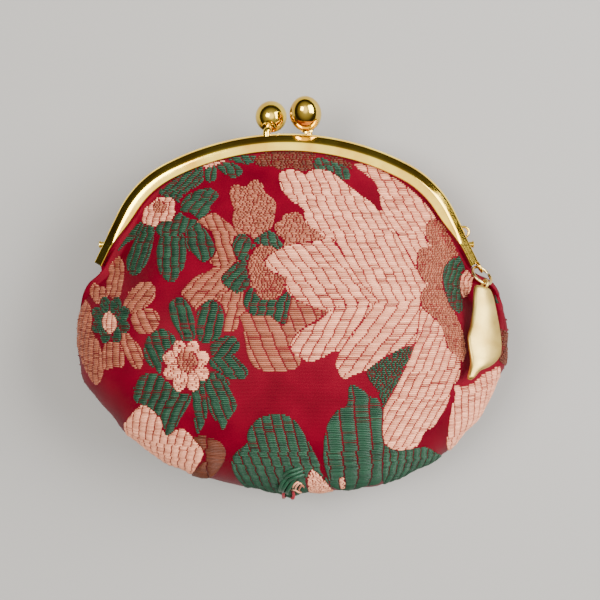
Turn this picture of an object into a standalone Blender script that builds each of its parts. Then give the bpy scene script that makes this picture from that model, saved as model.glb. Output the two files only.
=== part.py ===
"""A kiss-lock coin purse lying on its back.

Two arched metal half frames hold the mouth of a puffed cloth bag, two balls snap past
each other to close them, and a small cast charm hangs from the right-hand end on a ring.
X runs along the frame, Y towards the clasp balls and Z up, away from the table. The origin
is on the table, in the middle of the flattened back of the bag.
Lengths below are millimetres, and become metres when a mesh or a place is made.
"""

import math

import bmesh
import bpy
import numpy as np
from mathutils import Matrix, Vector

MM = 0.001

# the arch that both half frames follow: a flat top arc, two shoulders and two straight legs
ARCH_TOP_Y = 43.0
TOP_RADIUS = 58.0
TOP_SWEEP = math.radians(27.5)
SHOULDER_RADIUS = 23.5
LEG_TILT = math.radians(63.6)
FRONT_LEG = 12.3
BACK_LEG = 5.5

# the section of a half frame: a channel of sheet metal with a rolled outer edge
HALF_DEPTH = 3.5
SHEET = 0.6
ROLL_RADIUS = 1.6
FACE_WIDTH = 3.6
LIP_WIDTH = 3.2
LIP_END_WIDTH = 0.65
LEG_FACE_WIDTH = 1.75
EDGE_ROUND = 0.22
BACK_PROUD = 0.4
SEAM_GAP = 0.3
FREE_GAP = 0.3

# the hinge at each end of the frame
HINGE_ALONG_LEG = 8.0
LUG_RADIUS = 1.7
LUG_STEP = 0.04
ARM_FROM = 2.8
ARM_LOW = -3.2
ARM_HIGH = 0.9
WEB_FROM = 3.2
WEB_TO = 5.2
WEB_LOW = -3.05
WEB_HIGH = -0.6
WEB_SHORT = 0.2
INNER_LUG_FROM = 0.9
INNER_LUG_TO = 1.6
RIVET_RADIUS = 0.6
RIVET_HOLE_RADIUS = 0.85
RIVET_HOLE_LENGTH = 8.0
RIVET_HEAD_RADIUS = 0.85
RIVET_HEAD_THICK = 0.45
RIVET_INNER_REACH = 2.35
RIVET_OUTER_GAP = 0.75

# the wire loop on the right-hand side and the wire eye at the end of the right-hand leg
LOOP_ALONG_LEG = 4.9
LOOP_RADIUS = 1.25
LOOP_WIRE = 0.28
LOOP_Z = 1.6
EYE_ALONG_LEG = 13.3
EYE_RADIUS = 1.2
EYE_WIRE = 0.33
EYE_Z = 1.9

# the clasp balls and the bent posts that carry them
BALL_RADIUS = 3.5
BALL_HALF_LENGTHS = {-1: 3.55, 1: 4.2}
POST_RADIUS = 0.85
POST_HOLE_RADIUS = 1.15
POST_HOLE_DEPTH = 3.4
BALL_PLACES = {-1: Vector((-3.4, 47.3, -2.4)), 1: Vector((4.2, 47.6, 2.6))}
POST_FOOT_X = {-1: -4.3, 1: 4.9}

# the bag, with the swell of each half, how much it slopes up under the frame, and how far it
# stays flat there
BACK_DEPTH = 17.0
FRONT_SHAPE = (20.0, 1.0, 2.7)
BACK_SHAPE = (24.0, 0.0, 4.0)
BELLY_HALF_X = 48.0
BELLY_HALF_Y = 39.0
WALL = 1.5
CHANNEL_INSET = 1.3
LEG_INSET = 2.5
HELD_EDGE_Z = 2.55
SEAM_EDGE_Z = -0.6
HINGE_CORNER = (43.0, 11.0)
HINGE_PINCH = 0.5
HINGE_PINCH_REACH = 7.5

# the ring and the charm
RING_RADIUS = 2.43
RING_WIRE = 0.3
RING_ROLL = math.radians(38.0)
CHARM_TOP = Vector((43.1, 9.7, 5.6))
CHARM_TIP = Vector((41.2, -11.2, 13.2))
CHARM_ROLL = math.radians(27.0)
CHARM_EYE_RADIUS = 0.95
CHARM_EYE_WIRE = 0.33
CHARM_EDGE = 0.8
CHARM_DOME = 0.7

# the edge of the bag below the hinges, clockwise: direction from the belly's middle, distance
BAG_EDGE = [
    # degrees, millimetres
    (15.6, 43.3),
    (12.0, 46.6),
    (5.0, 48.8),
    (-5.0, 49.7),
    (-15.0, 48.6),
    (-28.0, 46.8),
    (-40.0, 44.7),
    (-52.0, 42.2),
    (-65.0, 39.6),
    (-78.0, 37.3),
    (-88.0, 36.8),
    (-98.0, 36.5),
    (-110.0, 36.9),
    (-125.0, 39.1),
    (-140.0, 41.5),
    (-155.0, 44.1),
    (-167.0, 46.8),
    (-177.0, 47.0),
    (-186.0, 46.3),
    (-192.0, 45.4),
    (-196.5, 43.3),
]
PUCKER_DEGREES = -89.0
PUCKER_WIDTH = 3.0
PUCKER_OUT = 1.4
PUCKER_DEEP = 1.6
DENT_DEEP = 3.4
DENT_WIDE = 6.0

# the outline of the charm: distance below its top, left edge, right edge
CHARM_OUTLINE = [
    # down, left, right
    (0.0, -2.4, 0.8),
    (0.5, -2.6, 1.5),
    (2.3, -2.75, 2.5),
    (5.3, -2.75, 3.45),
    (9.1, -3.2, 4.55),
    (12.0, -3.75, 5.1),
    (14.3, -3.4, 5.0),
    (16.1, -2.9, 3.9),
    (17.7, -2.7, 2.0),
    (18.8, -2.8, 0.0),
    (20.3, -3.1, -1.3),
    (21.2, -3.1, -2.0),
]

COLOURS = {
    # name: (colour, metallic, roughness)
    "gold_plate": ((0.83, 0.62, 0.22), 1.0, 0.14),
    "pale_brass": ((0.80, 0.68, 0.38), 1.0, 0.3),
    "red_brocade": ((0.45, 0.02, 0.06), 0.0, 0.55),
}


def clear_scene():
    for old in list(bpy.data.objects):
        bpy.data.objects.remove(old, do_unlink=True)


def material(name):
    made = bpy.data.materials.get(name)
    if made:
        return made
    colour, metallic, roughness = COLOURS[name]
    made = bpy.data.materials.new(name)
    made.use_nodes = True
    shader = made.node_tree.nodes["Principled BSDF"]
    shader.inputs["Base Color"].default_value = (*colour, 1.0)
    shader.inputs["Metallic"].default_value = metallic
    shader.inputs["Roughness"].default_value = roughness
    return made


def collection(name):
    made = bpy.data.collections.new(name)
    bpy.context.scene.collection.children.link(made)
    return made


def add_object(name, mesh, where, look=None, parent=None):
    made = bpy.data.objects.new(name, mesh)
    where.objects.link(made)
    made.parent = parent
    if look:
        mesh.materials.append(material(look))
    return made


def mesh_from(name, points, faces):
    """A mesh from points in millimetres and its faces."""
    mesh = bpy.data.meshes.new(name)
    mesh.from_pydata([(x * MM, y * MM, z * MM) for x, y, z in points], [], faces)
    mesh.validate()
    return mesh


def loft(name, rings):
    """A closed body through rings of equal count, capped at both ends."""
    count = len(rings[0])
    points = [p for ring in rings for p in ring]
    faces = []
    for r in range(len(rings) - 1):
        for i in range(count):
            j = (i + 1) % count
            a, b = r * count, (r + 1) * count
            faces.append((a + i, a + j, b + j, b + i))
    faces.append(tuple(reversed(range(count))))
    faces.append(tuple(range(len(points) - count, len(points))))
    mesh = mesh_from(name, points, faces)
    work = bmesh.new()
    work.from_mesh(mesh)
    bmesh.ops.recalc_face_normals(work, faces=work.faces)
    work.to_mesh(mesh)
    work.free()
    return mesh


def smooth(mesh, degrees=35.0):
    mesh.shade_smooth()
    mesh.set_sharp_from_angle(angle=math.radians(degrees))


def add_boolean(target, operation, other):
    modifier = target.modifiers.new(operation.lower(), "BOOLEAN")
    modifier.operation = operation
    modifier.solver = "EXACT"
    modifier.object = other


def helper(name, mesh, parent):
    """A body that only adds to another or cuts it."""
    made = add_object(name, mesh, HELPERS, parent=parent)
    made.hide_render = True
    made.display_type = "WIRE"
    return made


def cylinder_mesh(name, radius, depth, segments=16):
    work = bmesh.new()
    bmesh.ops.create_cone(
        work,
        cap_ends=True,
        segments=segments,
        radius1=radius * MM,
        radius2=radius * MM,
        depth=depth * MM,
    )
    mesh = bpy.data.meshes.new(name)
    work.to_mesh(mesh)
    work.free()
    return mesh


def box_mesh(name, low, high):
    work = bmesh.new()
    bmesh.ops.create_cube(work, size=1.0)
    for vert in work.verts:
        for axis in range(3):
            middle = (low[axis] + high[axis]) / 2
            span = high[axis] - low[axis]
            vert.co[axis] = (middle + vert.co[axis] * span) * MM
    mesh = bpy.data.meshes.new(name)
    work.to_mesh(mesh)
    work.free()
    return mesh


def torus_mesh(name, radius, wire, around, across=6):
    """A wire ring about Z: a circle of the wire carried round a circle."""
    rings = []
    for i in range(around):
        turn = 2 * math.pi * i / around
        ring = []
        for j in range(across):
            roll = 2 * math.pi * j / across
            reach = radius + wire * math.cos(roll)
            ring.append((reach * math.cos(turn), reach * math.sin(turn), wire * math.sin(roll)))
        rings.append(ring)
    points = [p for ring in rings for p in ring]
    faces = []
    for i in range(around):
        for j in range(across):
            a, b = i * across, ((i + 1) % around) * across
            k = (j + 1) % across
            faces.append((a + j, b + j, b + k, a + k))
    return mesh_from(name, points, faces)


def wire_mesh(name, points, radius):
    """A wire of this radius along a line of points, as a closed mesh."""
    curve = bpy.data.curves.new(name, "CURVE")
    curve.dimensions = "3D"
    curve.bevel_depth = radius * MM
    curve.bevel_resolution = 2
    curve.use_fill_caps = True
    spline = curve.splines.new("POLY")
    spline.points.add(len(points) - 1)
    for target, point in zip(spline.points, points):
        target.co = (point[0] * MM, point[1] * MM, point[2] * MM, 1.0)
    holder = bpy.data.objects.new(name, curve)
    bpy.context.scene.collection.objects.link(holder)
    mesh = bpy.data.meshes.new_from_object(holder.evaluated_get(bpy.context.evaluated_depsgraph_get()))
    work = bmesh.new()
    work.from_mesh(mesh)
    bmesh.ops.remove_doubles(work, verts=work.verts, dist=1e-5)
    bmesh.ops.recalc_face_normals(work, faces=work.faces)
    work.to_mesh(mesh)
    work.free()
    bpy.data.objects.remove(holder, do_unlink=True)
    return mesh


def frame_matrix(place, x_axis, y_axis, z_axis):
    """A placement from a point in millimetres and three unit axes."""
    turn = Matrix((x_axis, y_axis, z_axis)).transposed().to_4x4()
    return Matrix.Translation(Vector(place) * MM) @ turn


TOP_LENGTH = TOP_RADIUS * TOP_SWEEP
SHOULDER_LENGTH = SHOULDER_RADIUS * (LEG_TILT - TOP_SWEEP)
LEG_START = TOP_LENGTH + SHOULDER_LENGTH


def arch(along, inset=0.0):
    """The point of the arch at this distance from its top, moved inwards by inset.

    The distance is negative on the left. Returns x, y and the inward direction.
    """
    side = -1.0 if along < 0 else 1.0
    far = abs(along)
    turn = min(far, TOP_LENGTH) / TOP_RADIUS
    x = TOP_RADIUS * math.sin(turn)
    y = ARCH_TOP_Y - TOP_RADIUS + TOP_RADIUS * math.cos(turn)
    if far > TOP_LENGTH:
        turn = TOP_SWEEP + (min(far, LEG_START) - TOP_LENGTH) / SHOULDER_RADIUS
        x += SHOULDER_RADIUS * (math.sin(turn) - math.sin(TOP_SWEEP))
        y += SHOULDER_RADIUS * (math.cos(turn) - math.cos(TOP_SWEEP))
    if far > LEG_START:
        x += (far - LEG_START) * math.cos(LEG_TILT)
        y -= (far - LEG_START) * math.sin(LEG_TILT)
    inward = (-math.sin(turn), -math.cos(turn))
    return side * (x + inset * inward[0]), y + inset * inward[1], (side * inward[0], inward[1])


def ease(value, start, end):
    """0 before start, 1 after end, smooth between."""
    t = min(max((value - start) / (end - start), 0.0), 1.0)
    return t * t * (3 - 2 * t)


def mix(a, b, share):
    return a + (b - a) * share


def half_section(along):
    """The channel's outline at this distance from the top, as (inset, height above the seam)."""
    on_leg = abs(along) - LEG_START
    face = mix(FACE_WIDTH, LEG_FACE_WIDTH, ease(on_leg, -2.0, 9.0))
    lip = mix(LIP_WIDTH, LIP_END_WIDTH, ease(on_leg, -3.0, 1.5))
    base = SEAM_GAP / 2
    middle = HALF_DEPTH - ROLL_RADIUS
    outline = [(0.0, base)]
    for step in range(5):
        turn = math.pi - step * math.pi / 8
        outline.append((ROLL_RADIUS + ROLL_RADIUS * math.cos(turn), middle + ROLL_RADIUS * math.sin(turn)))
    outline.append((face - EDGE_ROUND, HALF_DEPTH))
    outline.append((face, HALF_DEPTH - EDGE_ROUND))
    outline.append((face, HALF_DEPTH - SHEET))
    inner = ROLL_RADIUS - SHEET
    for step in range(4):
        turn = math.pi / 2 + step * math.pi / 6
        outline.append((ROLL_RADIUS + inner * math.cos(turn), middle + inner * math.sin(turn)))
    outline.append((SHEET, base + SHEET))
    outline.append((lip, base + SHEET))
    outline.append((lip, base))
    return outline


def stations(leg):
    """Distances along the arch at which a half frame has a section."""
    right = list(np.linspace(0.0, TOP_LENGTH, 8))
    right += list(np.linspace(TOP_LENGTH, LEG_START, 6))[1:]
    right += list(np.linspace(LEG_START, LEG_START + leg, 5))[1:]
    return [-s for s in reversed(right[1:])] + right


def half_frame(name, up, proud, leg):
    """A half frame above (up=1) or below (up=-1) the seam, standing proud of the arch."""
    rings = []
    for along in stations(leg):
        ring = []
        for inset, height in half_section(along):
            x, y, _ = arch(along, inset - proud)
            ring.append((x, y, up * height))
        rings.append(ring)
    made = add_object(name, loft(name, rings), PURSE, "gold_plate", MIDDLE)
    smooth(made.data)
    return made


def leg_matrix(side, on_leg, inset, height):
    """A placement on a leg: X along the leg, Y up, Z inwards from the outer wall."""
    x, y, inward = arch(side * (LEG_START + on_leg), inset)
    z_axis = Vector((inward[0], inward[1], 0.0))
    y_axis = Vector((0.0, 0.0, 1.0))
    return frame_matrix((x, y, height), y_axis.cross(z_axis), y_axis, z_axis)


def plate_disc(name, side, inset_from, inset_to, radius):
    mesh = cylinder_mesh(name, radius, inset_to - inset_from)
    made = helper(name, mesh, MIDDLE)
    middle = (inset_from + inset_to) / 2
    made.matrix_local = leg_matrix(side, HINGE_ALONG_LEG, middle, 0.0)
    return made


def plate_bar(name, side, inset, along, heights):
    """A flat bar on a leg. inset, along and heights each give where it starts and ends."""
    middle_inset = sum(inset) / 2
    middle_leg = sum(along) / 2
    thick = (inset[1] - inset[0]) / 2
    half = (along[1] - along[0]) / 2
    low, high = heights
    made = helper(name, box_mesh(name, (-half, low, -thick), (half, high, thick)), MIDDLE)
    made.matrix_local = leg_matrix(side, middle_leg, middle_inset, 0.0)
    return made


def rivet_hole(name, side):
    made = helper(name, cylinder_mesh(name, RIVET_HOLE_RADIUS, RIVET_HOLE_LENGTH, 12), MIDDLE)
    made.matrix_local = hinge_matrix(side, 0.0)
    return made


def hinge_matrix(side, outwards):
    """A placement on the hinge line, whose Z runs outwards along the line itself."""
    x, y, _ = arch(side * (LEG_START + HINGE_ALONG_LEG))
    z_axis = Vector((side, 0.0, 0.0))
    y_axis = Vector((0.0, 0.0, 1.0))
    return frame_matrix((x + side * outwards, y, 0.0), y_axis.cross(z_axis), y_axis, z_axis)


def add_lugs(front, back):
    """The hinge plates: the front half's lie outside, the back half's inside them."""
    for side, word in ((-1, "left"), (1, "right")):
        hole = rivet_hole(f"rivet_hole_{word}", side)
        outer = plate_disc(f"front_lug_{word}", side, LUG_STEP, SHEET - LUG_STEP, LUG_RADIUS)
        add_boolean(front, "UNION", outer)
        inner = plate_disc(f"back_lug_{word}", side, INNER_LUG_FROM, INNER_LUG_TO, LUG_RADIUS)
        arm_from, arm_to = INNER_LUG_FROM + LUG_STEP, INNER_LUG_TO - LUG_STEP
        along = (ARM_FROM, HINGE_ALONG_LEG)
        arm = plate_bar(f"back_lug_arm_{word}", side, (arm_from, arm_to), along, (ARM_LOW, ARM_HIGH))
        inset = (0.0, arm_to - WEB_SHORT)
        web = plate_bar(f"back_lug_web_{word}", side, inset, (WEB_FROM, WEB_TO), (WEB_LOW, WEB_HIGH))
        for piece in (inner, arm, web):
            add_boolean(back, "UNION", piece)
        add_boolean(front, "DIFFERENCE", hole)
        add_boolean(back, "DIFFERENCE", hole)


def rivet(name, side):
    """A plain pin along the hinge line with a flat round head outside."""
    head_low = RIVET_OUTER_GAP
    profile = [
        (0.0, head_low + RIVET_HEAD_THICK),
        (RIVET_HEAD_RADIUS * 0.6, head_low + RIVET_HEAD_THICK),
        (RIVET_HEAD_RADIUS, head_low + RIVET_HEAD_THICK * 0.45),
        (RIVET_HEAD_RADIUS, head_low),
        (RIVET_RADIUS, head_low),
        (RIVET_RADIUS, -RIVET_INNER_REACH),
        (0.0, -RIVET_INNER_REACH),
    ]
    mesh = bpy.data.meshes.new(name)
    points = [(r * MM, 0.0, z * MM) for r, z in profile]
    mesh.from_pydata(points, [(i, i + 1) for i in range(len(points) - 1)], [])
    made = add_object(name, mesh, PURSE, "gold_plate", MIDDLE)
    turned = made.modifiers.new("turned", "SCREW")
    turned.steps = 12
    turned.render_steps = 12
    turned.use_merge_vertices = True
    turned.merge_threshold = 1e-5
    made.matrix_local = hinge_matrix(side, 0.0)
    return made


def add_side_loop(front):
    """A half ring of wire standing out of the right-hand leg."""
    wire = []
    for step in range(9):
        turn = math.pi * (step / 8)
        on_leg = LOOP_ALONG_LEG + LOOP_RADIUS * math.cos(turn)
        inset = 0.3 - (LOOP_RADIUS + 0.2) * math.sin(turn)
        x, y, _ = arch(LEG_START + on_leg, inset)
        wire.append((x, y, LOOP_Z))
    add_boolean(front, "UNION", helper("side_loop", wire_mesh("side_loop", wire, LOOP_WIRE), MIDDLE))


def add_end_eye(front):
    """The wire eye at the end of the right-hand leg, in line with its wall."""
    eye = helper("end_eye", torus_mesh("end_eye", EYE_RADIUS, EYE_WIRE, 14), MIDDLE)
    eye.matrix_local = leg_matrix(1, EYE_ALONG_LEG, SHEET / 2, EYE_Z)
    add_boolean(front, "UNION", eye)


def post_line(side, up):
    """The bent post of a ball: out of its own half frame and over to the other side."""
    foot_x = POST_FOOT_X[side]
    ball = BALL_PLACES[side]
    foot = Vector((foot_x, ARCH_TOP_Y - 0.5, up * 1.8))
    bend = Vector((foot_x, ARCH_TOP_Y + 0.7, up * 1.75))
    knee = Vector((mix(foot_x, ball.x, 0.35), ARCH_TOP_Y + 1.3, up * 1.2))
    axis = (ball - knee).normalized()
    return [foot, bend, knee, ball - axis * (BALL_HALF_LENGTHS[side] - POST_HOLE_DEPTH + FREE_GAP)]


def add_post(half, side, up):
    line = post_line(side, up)
    add_boolean(half, "UNION", helper(f"post_{side}", wire_mesh(f"post_{side}", line, POST_RADIUS), MIDDLE))


def clasp_ball(name, side, up):
    """An egg-shaped ball bored from below for its post."""
    place = BALL_PLACES[side]
    half_length = BALL_HALF_LENGTHS[side]
    line = post_line(side, up)
    long_axis = (line[-1] - line[-2]).normalized()
    x_axis = Vector((1.0, 0.0, 0.0))
    x_axis = (x_axis - long_axis * x_axis.dot(long_axis)).normalized()
    turn = frame_matrix(place, x_axis, long_axis.cross(x_axis), long_axis)
    work = bmesh.new()
    bmesh.ops.create_uvsphere(work, u_segments=16, v_segments=12, radius=BALL_RADIUS * MM)
    for vert in work.verts:
        vert.co.z *= half_length / BALL_RADIUS
    mesh = bpy.data.meshes.new(name)
    work.to_mesh(mesh)
    work.free()
    made = add_object(name, mesh, PURSE, "gold_plate", MIDDLE)
    made.matrix_local = turn
    smooth(made.data)
    bore_mesh = cylinder_mesh(f"{name}_bore", POST_HOLE_RADIUS, 2 * half_length)
    bore = helper(f"{name}_bore", bore_mesh, MIDDLE)
    bore.matrix_local = turn @ Matrix.Translation((0.0, 0.0, (POST_HOLE_DEPTH - 2 * half_length) * MM))
    add_boolean(made, "DIFFERENCE", bore)
    return made


def edge_radius(degrees):
    """How far the bag reaches in this direction, by a smooth curve through BAG_EDGE."""
    table = BAG_EDGE
    last = len(table) - 1
    row = 0
    while row < last - 1 and degrees < table[row + 1][0]:
        row += 1
    before, start, end, after = (table[min(max(row + k, 0), last)] for k in (-1, 0, 1, 2))
    span = end[0] - start[0]
    t = (degrees - start[0]) / span
    slope_start = (end[1] - before[1]) / (end[0] - before[0]) * span
    slope_end = (after[1] - start[1]) / (after[0] - start[0]) * span
    curve = (
        start[1] * (2 * t**3 - 3 * t**2 + 1)
        + slope_start * (t**3 - 2 * t**2 + t)
        + end[1] * (3 * t**2 - 2 * t**3)
        + slope_end * (t**3 - t**2)
    )
    return curve


def bag_border():
    """The bag's edge once round: over the arch from the left leg, then down and round below.

    Each row is x, y and the outward step of the pucker at the bottom of the seam.
    """
    border = []
    for along in [-s for s in reversed(BORDER_HALF)] + BORDER_HALF[1:]:
        on_leg = abs(along) - LEG_START
        inset = mix(CHANNEL_INSET, LEG_INSET, ease(on_leg, -2.5, 2.5))
        x, y, _ = arch(along, inset)
        border.append((x, y, 0.0))
    for degrees in SEWN_DEGREES:
        reach = edge_radius(degrees)
        turn = math.radians(degrees)
        pucker = PUCKER_OUT * math.exp(-(((degrees - PUCKER_DEGREES) / PUCKER_WIDTH) ** 2))
        border.append((reach * math.cos(turn), reach * math.sin(turn), pucker))
    return border


BORDER_HALF = [
    *np.linspace(0.0, TOP_LENGTH, 6),
    *np.linspace(TOP_LENGTH, LEG_START, 5)[1:],
    *np.linspace(LEG_START, LEG_START + FRONT_LEG, 5)[1:],
]
SEWN_DEGREES = [15.6, 12.0, 8.5, 5.0, *np.linspace(0.0, -80.0, 15), -84.5, -87.0, -89.0, -91.0, -93.5]
SEWN_DEGREES += [*np.linspace(-98.0, -180.0, 15), -185.5, -189.5, -193.0, -196.5]
RINGS = (0.0, 0.18, 0.36, 0.52, 0.66, 0.78, 0.87, 0.935, 0.975, 1.0)


def bag_height(x, y, reach, share, shape):
    """How far the cloth stands off the seam's plane.

    reach is the distance of the bag's edge in this direction, and share how far out the point
    is, from 0 in the middle to 1 at the edge. Under the frame the cloth leaves the channel
    flat and then slopes up, and where it is sewn it is round and steep like a cushion's edge.
    With no slope in its shape it is round under the top of the frame too, as on the back,
    which lies on the table.
    """
    swell, slope, held_flat = shape
    degrees = math.degrees(math.atan2(y, x)) if share else 90.0
    off_top = abs(degrees - 90.0)
    off_top = min(off_top, 360.0 - off_top)
    held = 1.0 - ease(off_top, 74.0, 86.0)
    towards_edge = (1.0 - ease(off_top, 40.0, 105.0)) * mix(slope, 1.0, ease(off_top, 50.0, 72.0))
    sloped = mix(0.5 * slope, towards_edge, ease(share, 0.0, 0.6))
    free = 1.0 - held * held_flat / reach
    out = min(share * (1.0 + (1.0 / free - 1.0) * (share / free) ** 3), 1.0)
    dome = (1.0 - out ** mix(2.4, 1.75, sloped)) ** mix(0.5, 1.0, sloped)
    edge = mix(SEAM_EDGE_Z, HELD_EDGE_Z, held)
    corner = math.hypot(abs(x) - HINGE_CORNER[0], y - HINGE_CORNER[1])
    pinch = HINGE_PINCH * math.exp(-((corner / HINGE_PINCH_REACH) ** 2))
    pucker = math.exp(-(((x - 0.8) / 2.0) ** 2)) * ease(share, 0.7, 0.95) * ease(-y, 15.0, 30.0)
    return edge * out**8 + swell * dome * (1.0 - pinch) - PUCKER_DEEP * pucker * (1.0 - share) ** 0.3


def charm_dent(x, y):
    """How deep the charm presses into the front of the bag."""
    down = (CHARM_TOP.y - y) / (CHARM_TOP.y - CHARM_TIP.y)
    middle = mix(CHARM_TOP.x, CHARM_TIP.x, down)
    along = ease(down, -0.4, 0.1) * (1.0 - ease(down, 0.55, 1.1))
    return DENT_DEEP * along * math.exp(-(((x - middle - 0.5) / DENT_WIDE) ** 2))


def panel(name, up, shape):
    """One half of the bag: a dome of cloth over its border, hollow, with its sewn edge trimmed."""
    border = bag_border()
    points = []
    for share in RINGS:
        for edge_x, edge_y, pucker in border:
            reach = math.hypot(edge_x, edge_y)
            even = 1.0 / math.hypot(edge_x / BELLY_HALF_X, edge_y / BELLY_HALF_Y)
            scale = share * mix(even, 1.0, share**3)
            x, y = edge_x * scale, edge_y * scale - pucker * share**10
            height = bag_height(x, y, reach, share, shape)
            if up > 0:
                height -= charm_dent(x, y) * ease(1.0 - share, 0.0, 0.06)
            else:
                height = min(height, BACK_DEPTH)
            points.append((x, y, up * height))
            if share == 0.0:
                break
    count = len(border)
    faces = []
    for i in range(count):
        j = (i + 1) % count
        faces.append((0, 1 + i, 1 + j))
        for ring in range(len(RINGS) - 2):
            a, b = 1 + ring * count, 1 + (ring + 1) * count
            faces.append((a + i, b + i, b + j, a + j))
    if up > 0:
        faces = [tuple(reversed(face)) for face in faces]
    made = add_object(name, mesh_from(name, points, faces), PURSE, "red_brocade", MIDDLE)
    smooth(made.data, 60.0)
    wall = made.modifiers.new("wall", "SOLIDIFY")
    wall.thickness = WALL * MM
    wall.offset = -1.0
    wall.use_even_offset = False
    trim_low, trim_high = (-12.0, SEAM_GAP / 2) if up > 0 else (-SEAM_GAP / 2, 12.0)
    trim_mesh = box_mesh(f"{name}_trim", (-60.0, -60.0, trim_low), (60.0, 60.0, trim_high))
    trim = helper(f"{name}_trim", trim_mesh, MIDDLE)
    add_boolean(made, "DIFFERENCE", trim)
    return made


def charm_axes():
    """The charm's own axes: across it, up its length, and out of its face."""
    length = (CHARM_TOP - CHARM_TIP).normalized()
    level = length.cross(Vector((0.0, 0.0, 1.0))).normalized()
    face = level.cross(length)
    across = level * math.cos(CHARM_ROLL) - face * math.sin(CHARM_ROLL)
    return across, length, across.cross(length)


def charm_place():
    across, length, face = charm_axes()
    return frame_matrix(CHARM_TOP, across, length, face)


def charm():
    """A flat cast charm with a domed face, waisted and ending in a narrow turned tip."""
    rings = []
    for down, left, right in CHARM_OUTLINE:
        half = (right - left) / 2
        crown = CHARM_EDGE + CHARM_DOME * min(half / 3.0, 1.0)
        ring = [(left, -down, 0.0)]
        for share in (0.0, 0.25, 0.5, 0.75, 1.0):
            height = mix(CHARM_EDGE, crown, 1.0 - (2 * share - 1.0) ** 2)
            ring.append((mix(left, right, share), -down, height))
        ring.append((right, -down, 0.0))
        rings.append(ring)
    made = add_object("charm", loft("charm", rings), PURSE, "pale_brass", MIDDLE)
    smooth(made.data)
    made.matrix_local = charm_place()
    eye = helper("charm_eye", torus_mesh("charm_eye", CHARM_EYE_RADIUS, CHARM_EYE_WIRE, 14), MIDDLE)
    eye.matrix_local = charm_place() @ charm_eye_place()
    add_boolean(made, "UNION", eye)
    return made


def charm_eye_place():
    """The charm's eye stands across its face, so its own axis runs across the charm."""
    middle = (0.0, 0.55, CHARM_EDGE / 2)
    return frame_matrix(middle, Vector((0, 0, -1)), Vector((0, 1, 0)), Vector((1, 0, 0)))


def jump_ring():
    """The ring through the frame's eye and the charm's eye."""
    start = leg_matrix(1, EYE_ALONG_LEG, SHEET / 2, EYE_Z).translation / MM
    end = (charm_place() @ charm_eye_place()).translation / MM
    line = (end - start).normalized()
    level = Vector((-line.y, line.x, 0.0)).normalized()
    over = line.cross(level)
    if over.z < 0:
        over.negate()
    if level.x < 0:
        level.negate()
    face = over * math.cos(RING_ROLL) + level * math.sin(RING_ROLL)
    mesh = torus_mesh("jump_ring", RING_RADIUS, RING_WIRE, 16)
    made = add_object("jump_ring", mesh, PURSE, "gold_plate", MIDDLE)
    smooth(made.data)
    made.matrix_local = frame_matrix((start + end) / 2, line, face.cross(line), face)
    return made


clear_scene()
PURSE = collection("kiss_lock_coin_purse")
HELPERS = collection("helpers")
HELPERS.hide_render = True
MIDDLE = bpy.data.objects.new("seam_plane", None)
PURSE.objects.link(MIDDLE)
MIDDLE.location = (0.0, 0.0, BACK_DEPTH * MM)

frame_front = half_frame("frame_front", 1, 0.0, FRONT_LEG)
frame_back = half_frame("frame_back", -1, BACK_PROUD, BACK_LEG)
add_lugs(frame_front, frame_back)
add_side_loop(frame_front)
add_end_eye(frame_front)
add_post(frame_front, -1, 1)
add_post(frame_back, 1, -1)
clasp_ball("clasp_ball_left", -1, 1)
clasp_ball("clasp_ball_right", 1, -1)
rivet("hinge_rivet_left", -1)
rivet("hinge_rivet_right", 1)
panel("front_panel", 1, FRONT_SHAPE)
panel("back_panel", -1, BACK_SHAPE)
charm()
jump_ring()
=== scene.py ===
"""The looks of a kiss-lock coin purse: flowered brocade, a polished frame and a small charm.

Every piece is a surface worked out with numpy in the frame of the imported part: X along the
frame, Y towards the clasp balls, Z up. Lengths are millimetres until a mesh is made.
Heights of pieces on the frame are measured from the seam plane, 17 mm above the floor.
"""

import math

import bpy
import numpy as np
from mathutils import Matrix, Vector


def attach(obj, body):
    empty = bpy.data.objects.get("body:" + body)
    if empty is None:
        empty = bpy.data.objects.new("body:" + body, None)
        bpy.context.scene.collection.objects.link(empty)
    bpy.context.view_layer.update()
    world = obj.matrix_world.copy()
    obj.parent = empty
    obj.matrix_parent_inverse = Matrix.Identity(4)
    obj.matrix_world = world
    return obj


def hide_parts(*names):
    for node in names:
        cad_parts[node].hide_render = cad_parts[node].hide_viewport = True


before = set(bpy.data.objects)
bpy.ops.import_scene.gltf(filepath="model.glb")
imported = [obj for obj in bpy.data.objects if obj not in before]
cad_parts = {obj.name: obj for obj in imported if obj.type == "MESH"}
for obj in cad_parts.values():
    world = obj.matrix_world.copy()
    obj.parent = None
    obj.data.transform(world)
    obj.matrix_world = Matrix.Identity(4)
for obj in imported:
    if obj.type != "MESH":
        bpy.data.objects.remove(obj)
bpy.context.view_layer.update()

MM = 0.001
SEAM = 17.0
RNG = np.random.default_rng(7)

# the arch of the frame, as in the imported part
ARCH_TOP_Y = 43.0
TOP_RADIUS = 58.0
TOP_SWEEP = math.radians(27.5)
SHOULDER_RADIUS = 23.5
LEG_TILT = math.radians(63.6)
TOP_LENGTH = TOP_RADIUS * TOP_SWEEP
LEG_START = TOP_LENGTH + SHOULDER_RADIUS * (LEG_TILT - TOP_SWEEP)
FRONT_LEG = 12.3
BACK_LEG = 5.5


def ease(value, start, end):
    """0 before start, 1 after end, smooth between: 3t^2 - 2t^3."""
    t = np.clip((value - start) / (end - start), 0.0, 1.0)
    return t * t * (3 - 2 * t)


def mix(a, b, share):
    return a + (b - a) * share


def unit(vectors):
    return vectors / np.maximum(np.linalg.norm(vectors, axis=-1, keepdims=True), 1e-9)


def full_turn(steps):
    return np.arange(steps) * 2 * math.pi / steps


def turned_from(degrees, direction):
    """The angle from a direction, between -180 and 180 degrees."""
    return (degrees - direction + 180.0) % 360 - 180.0


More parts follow.
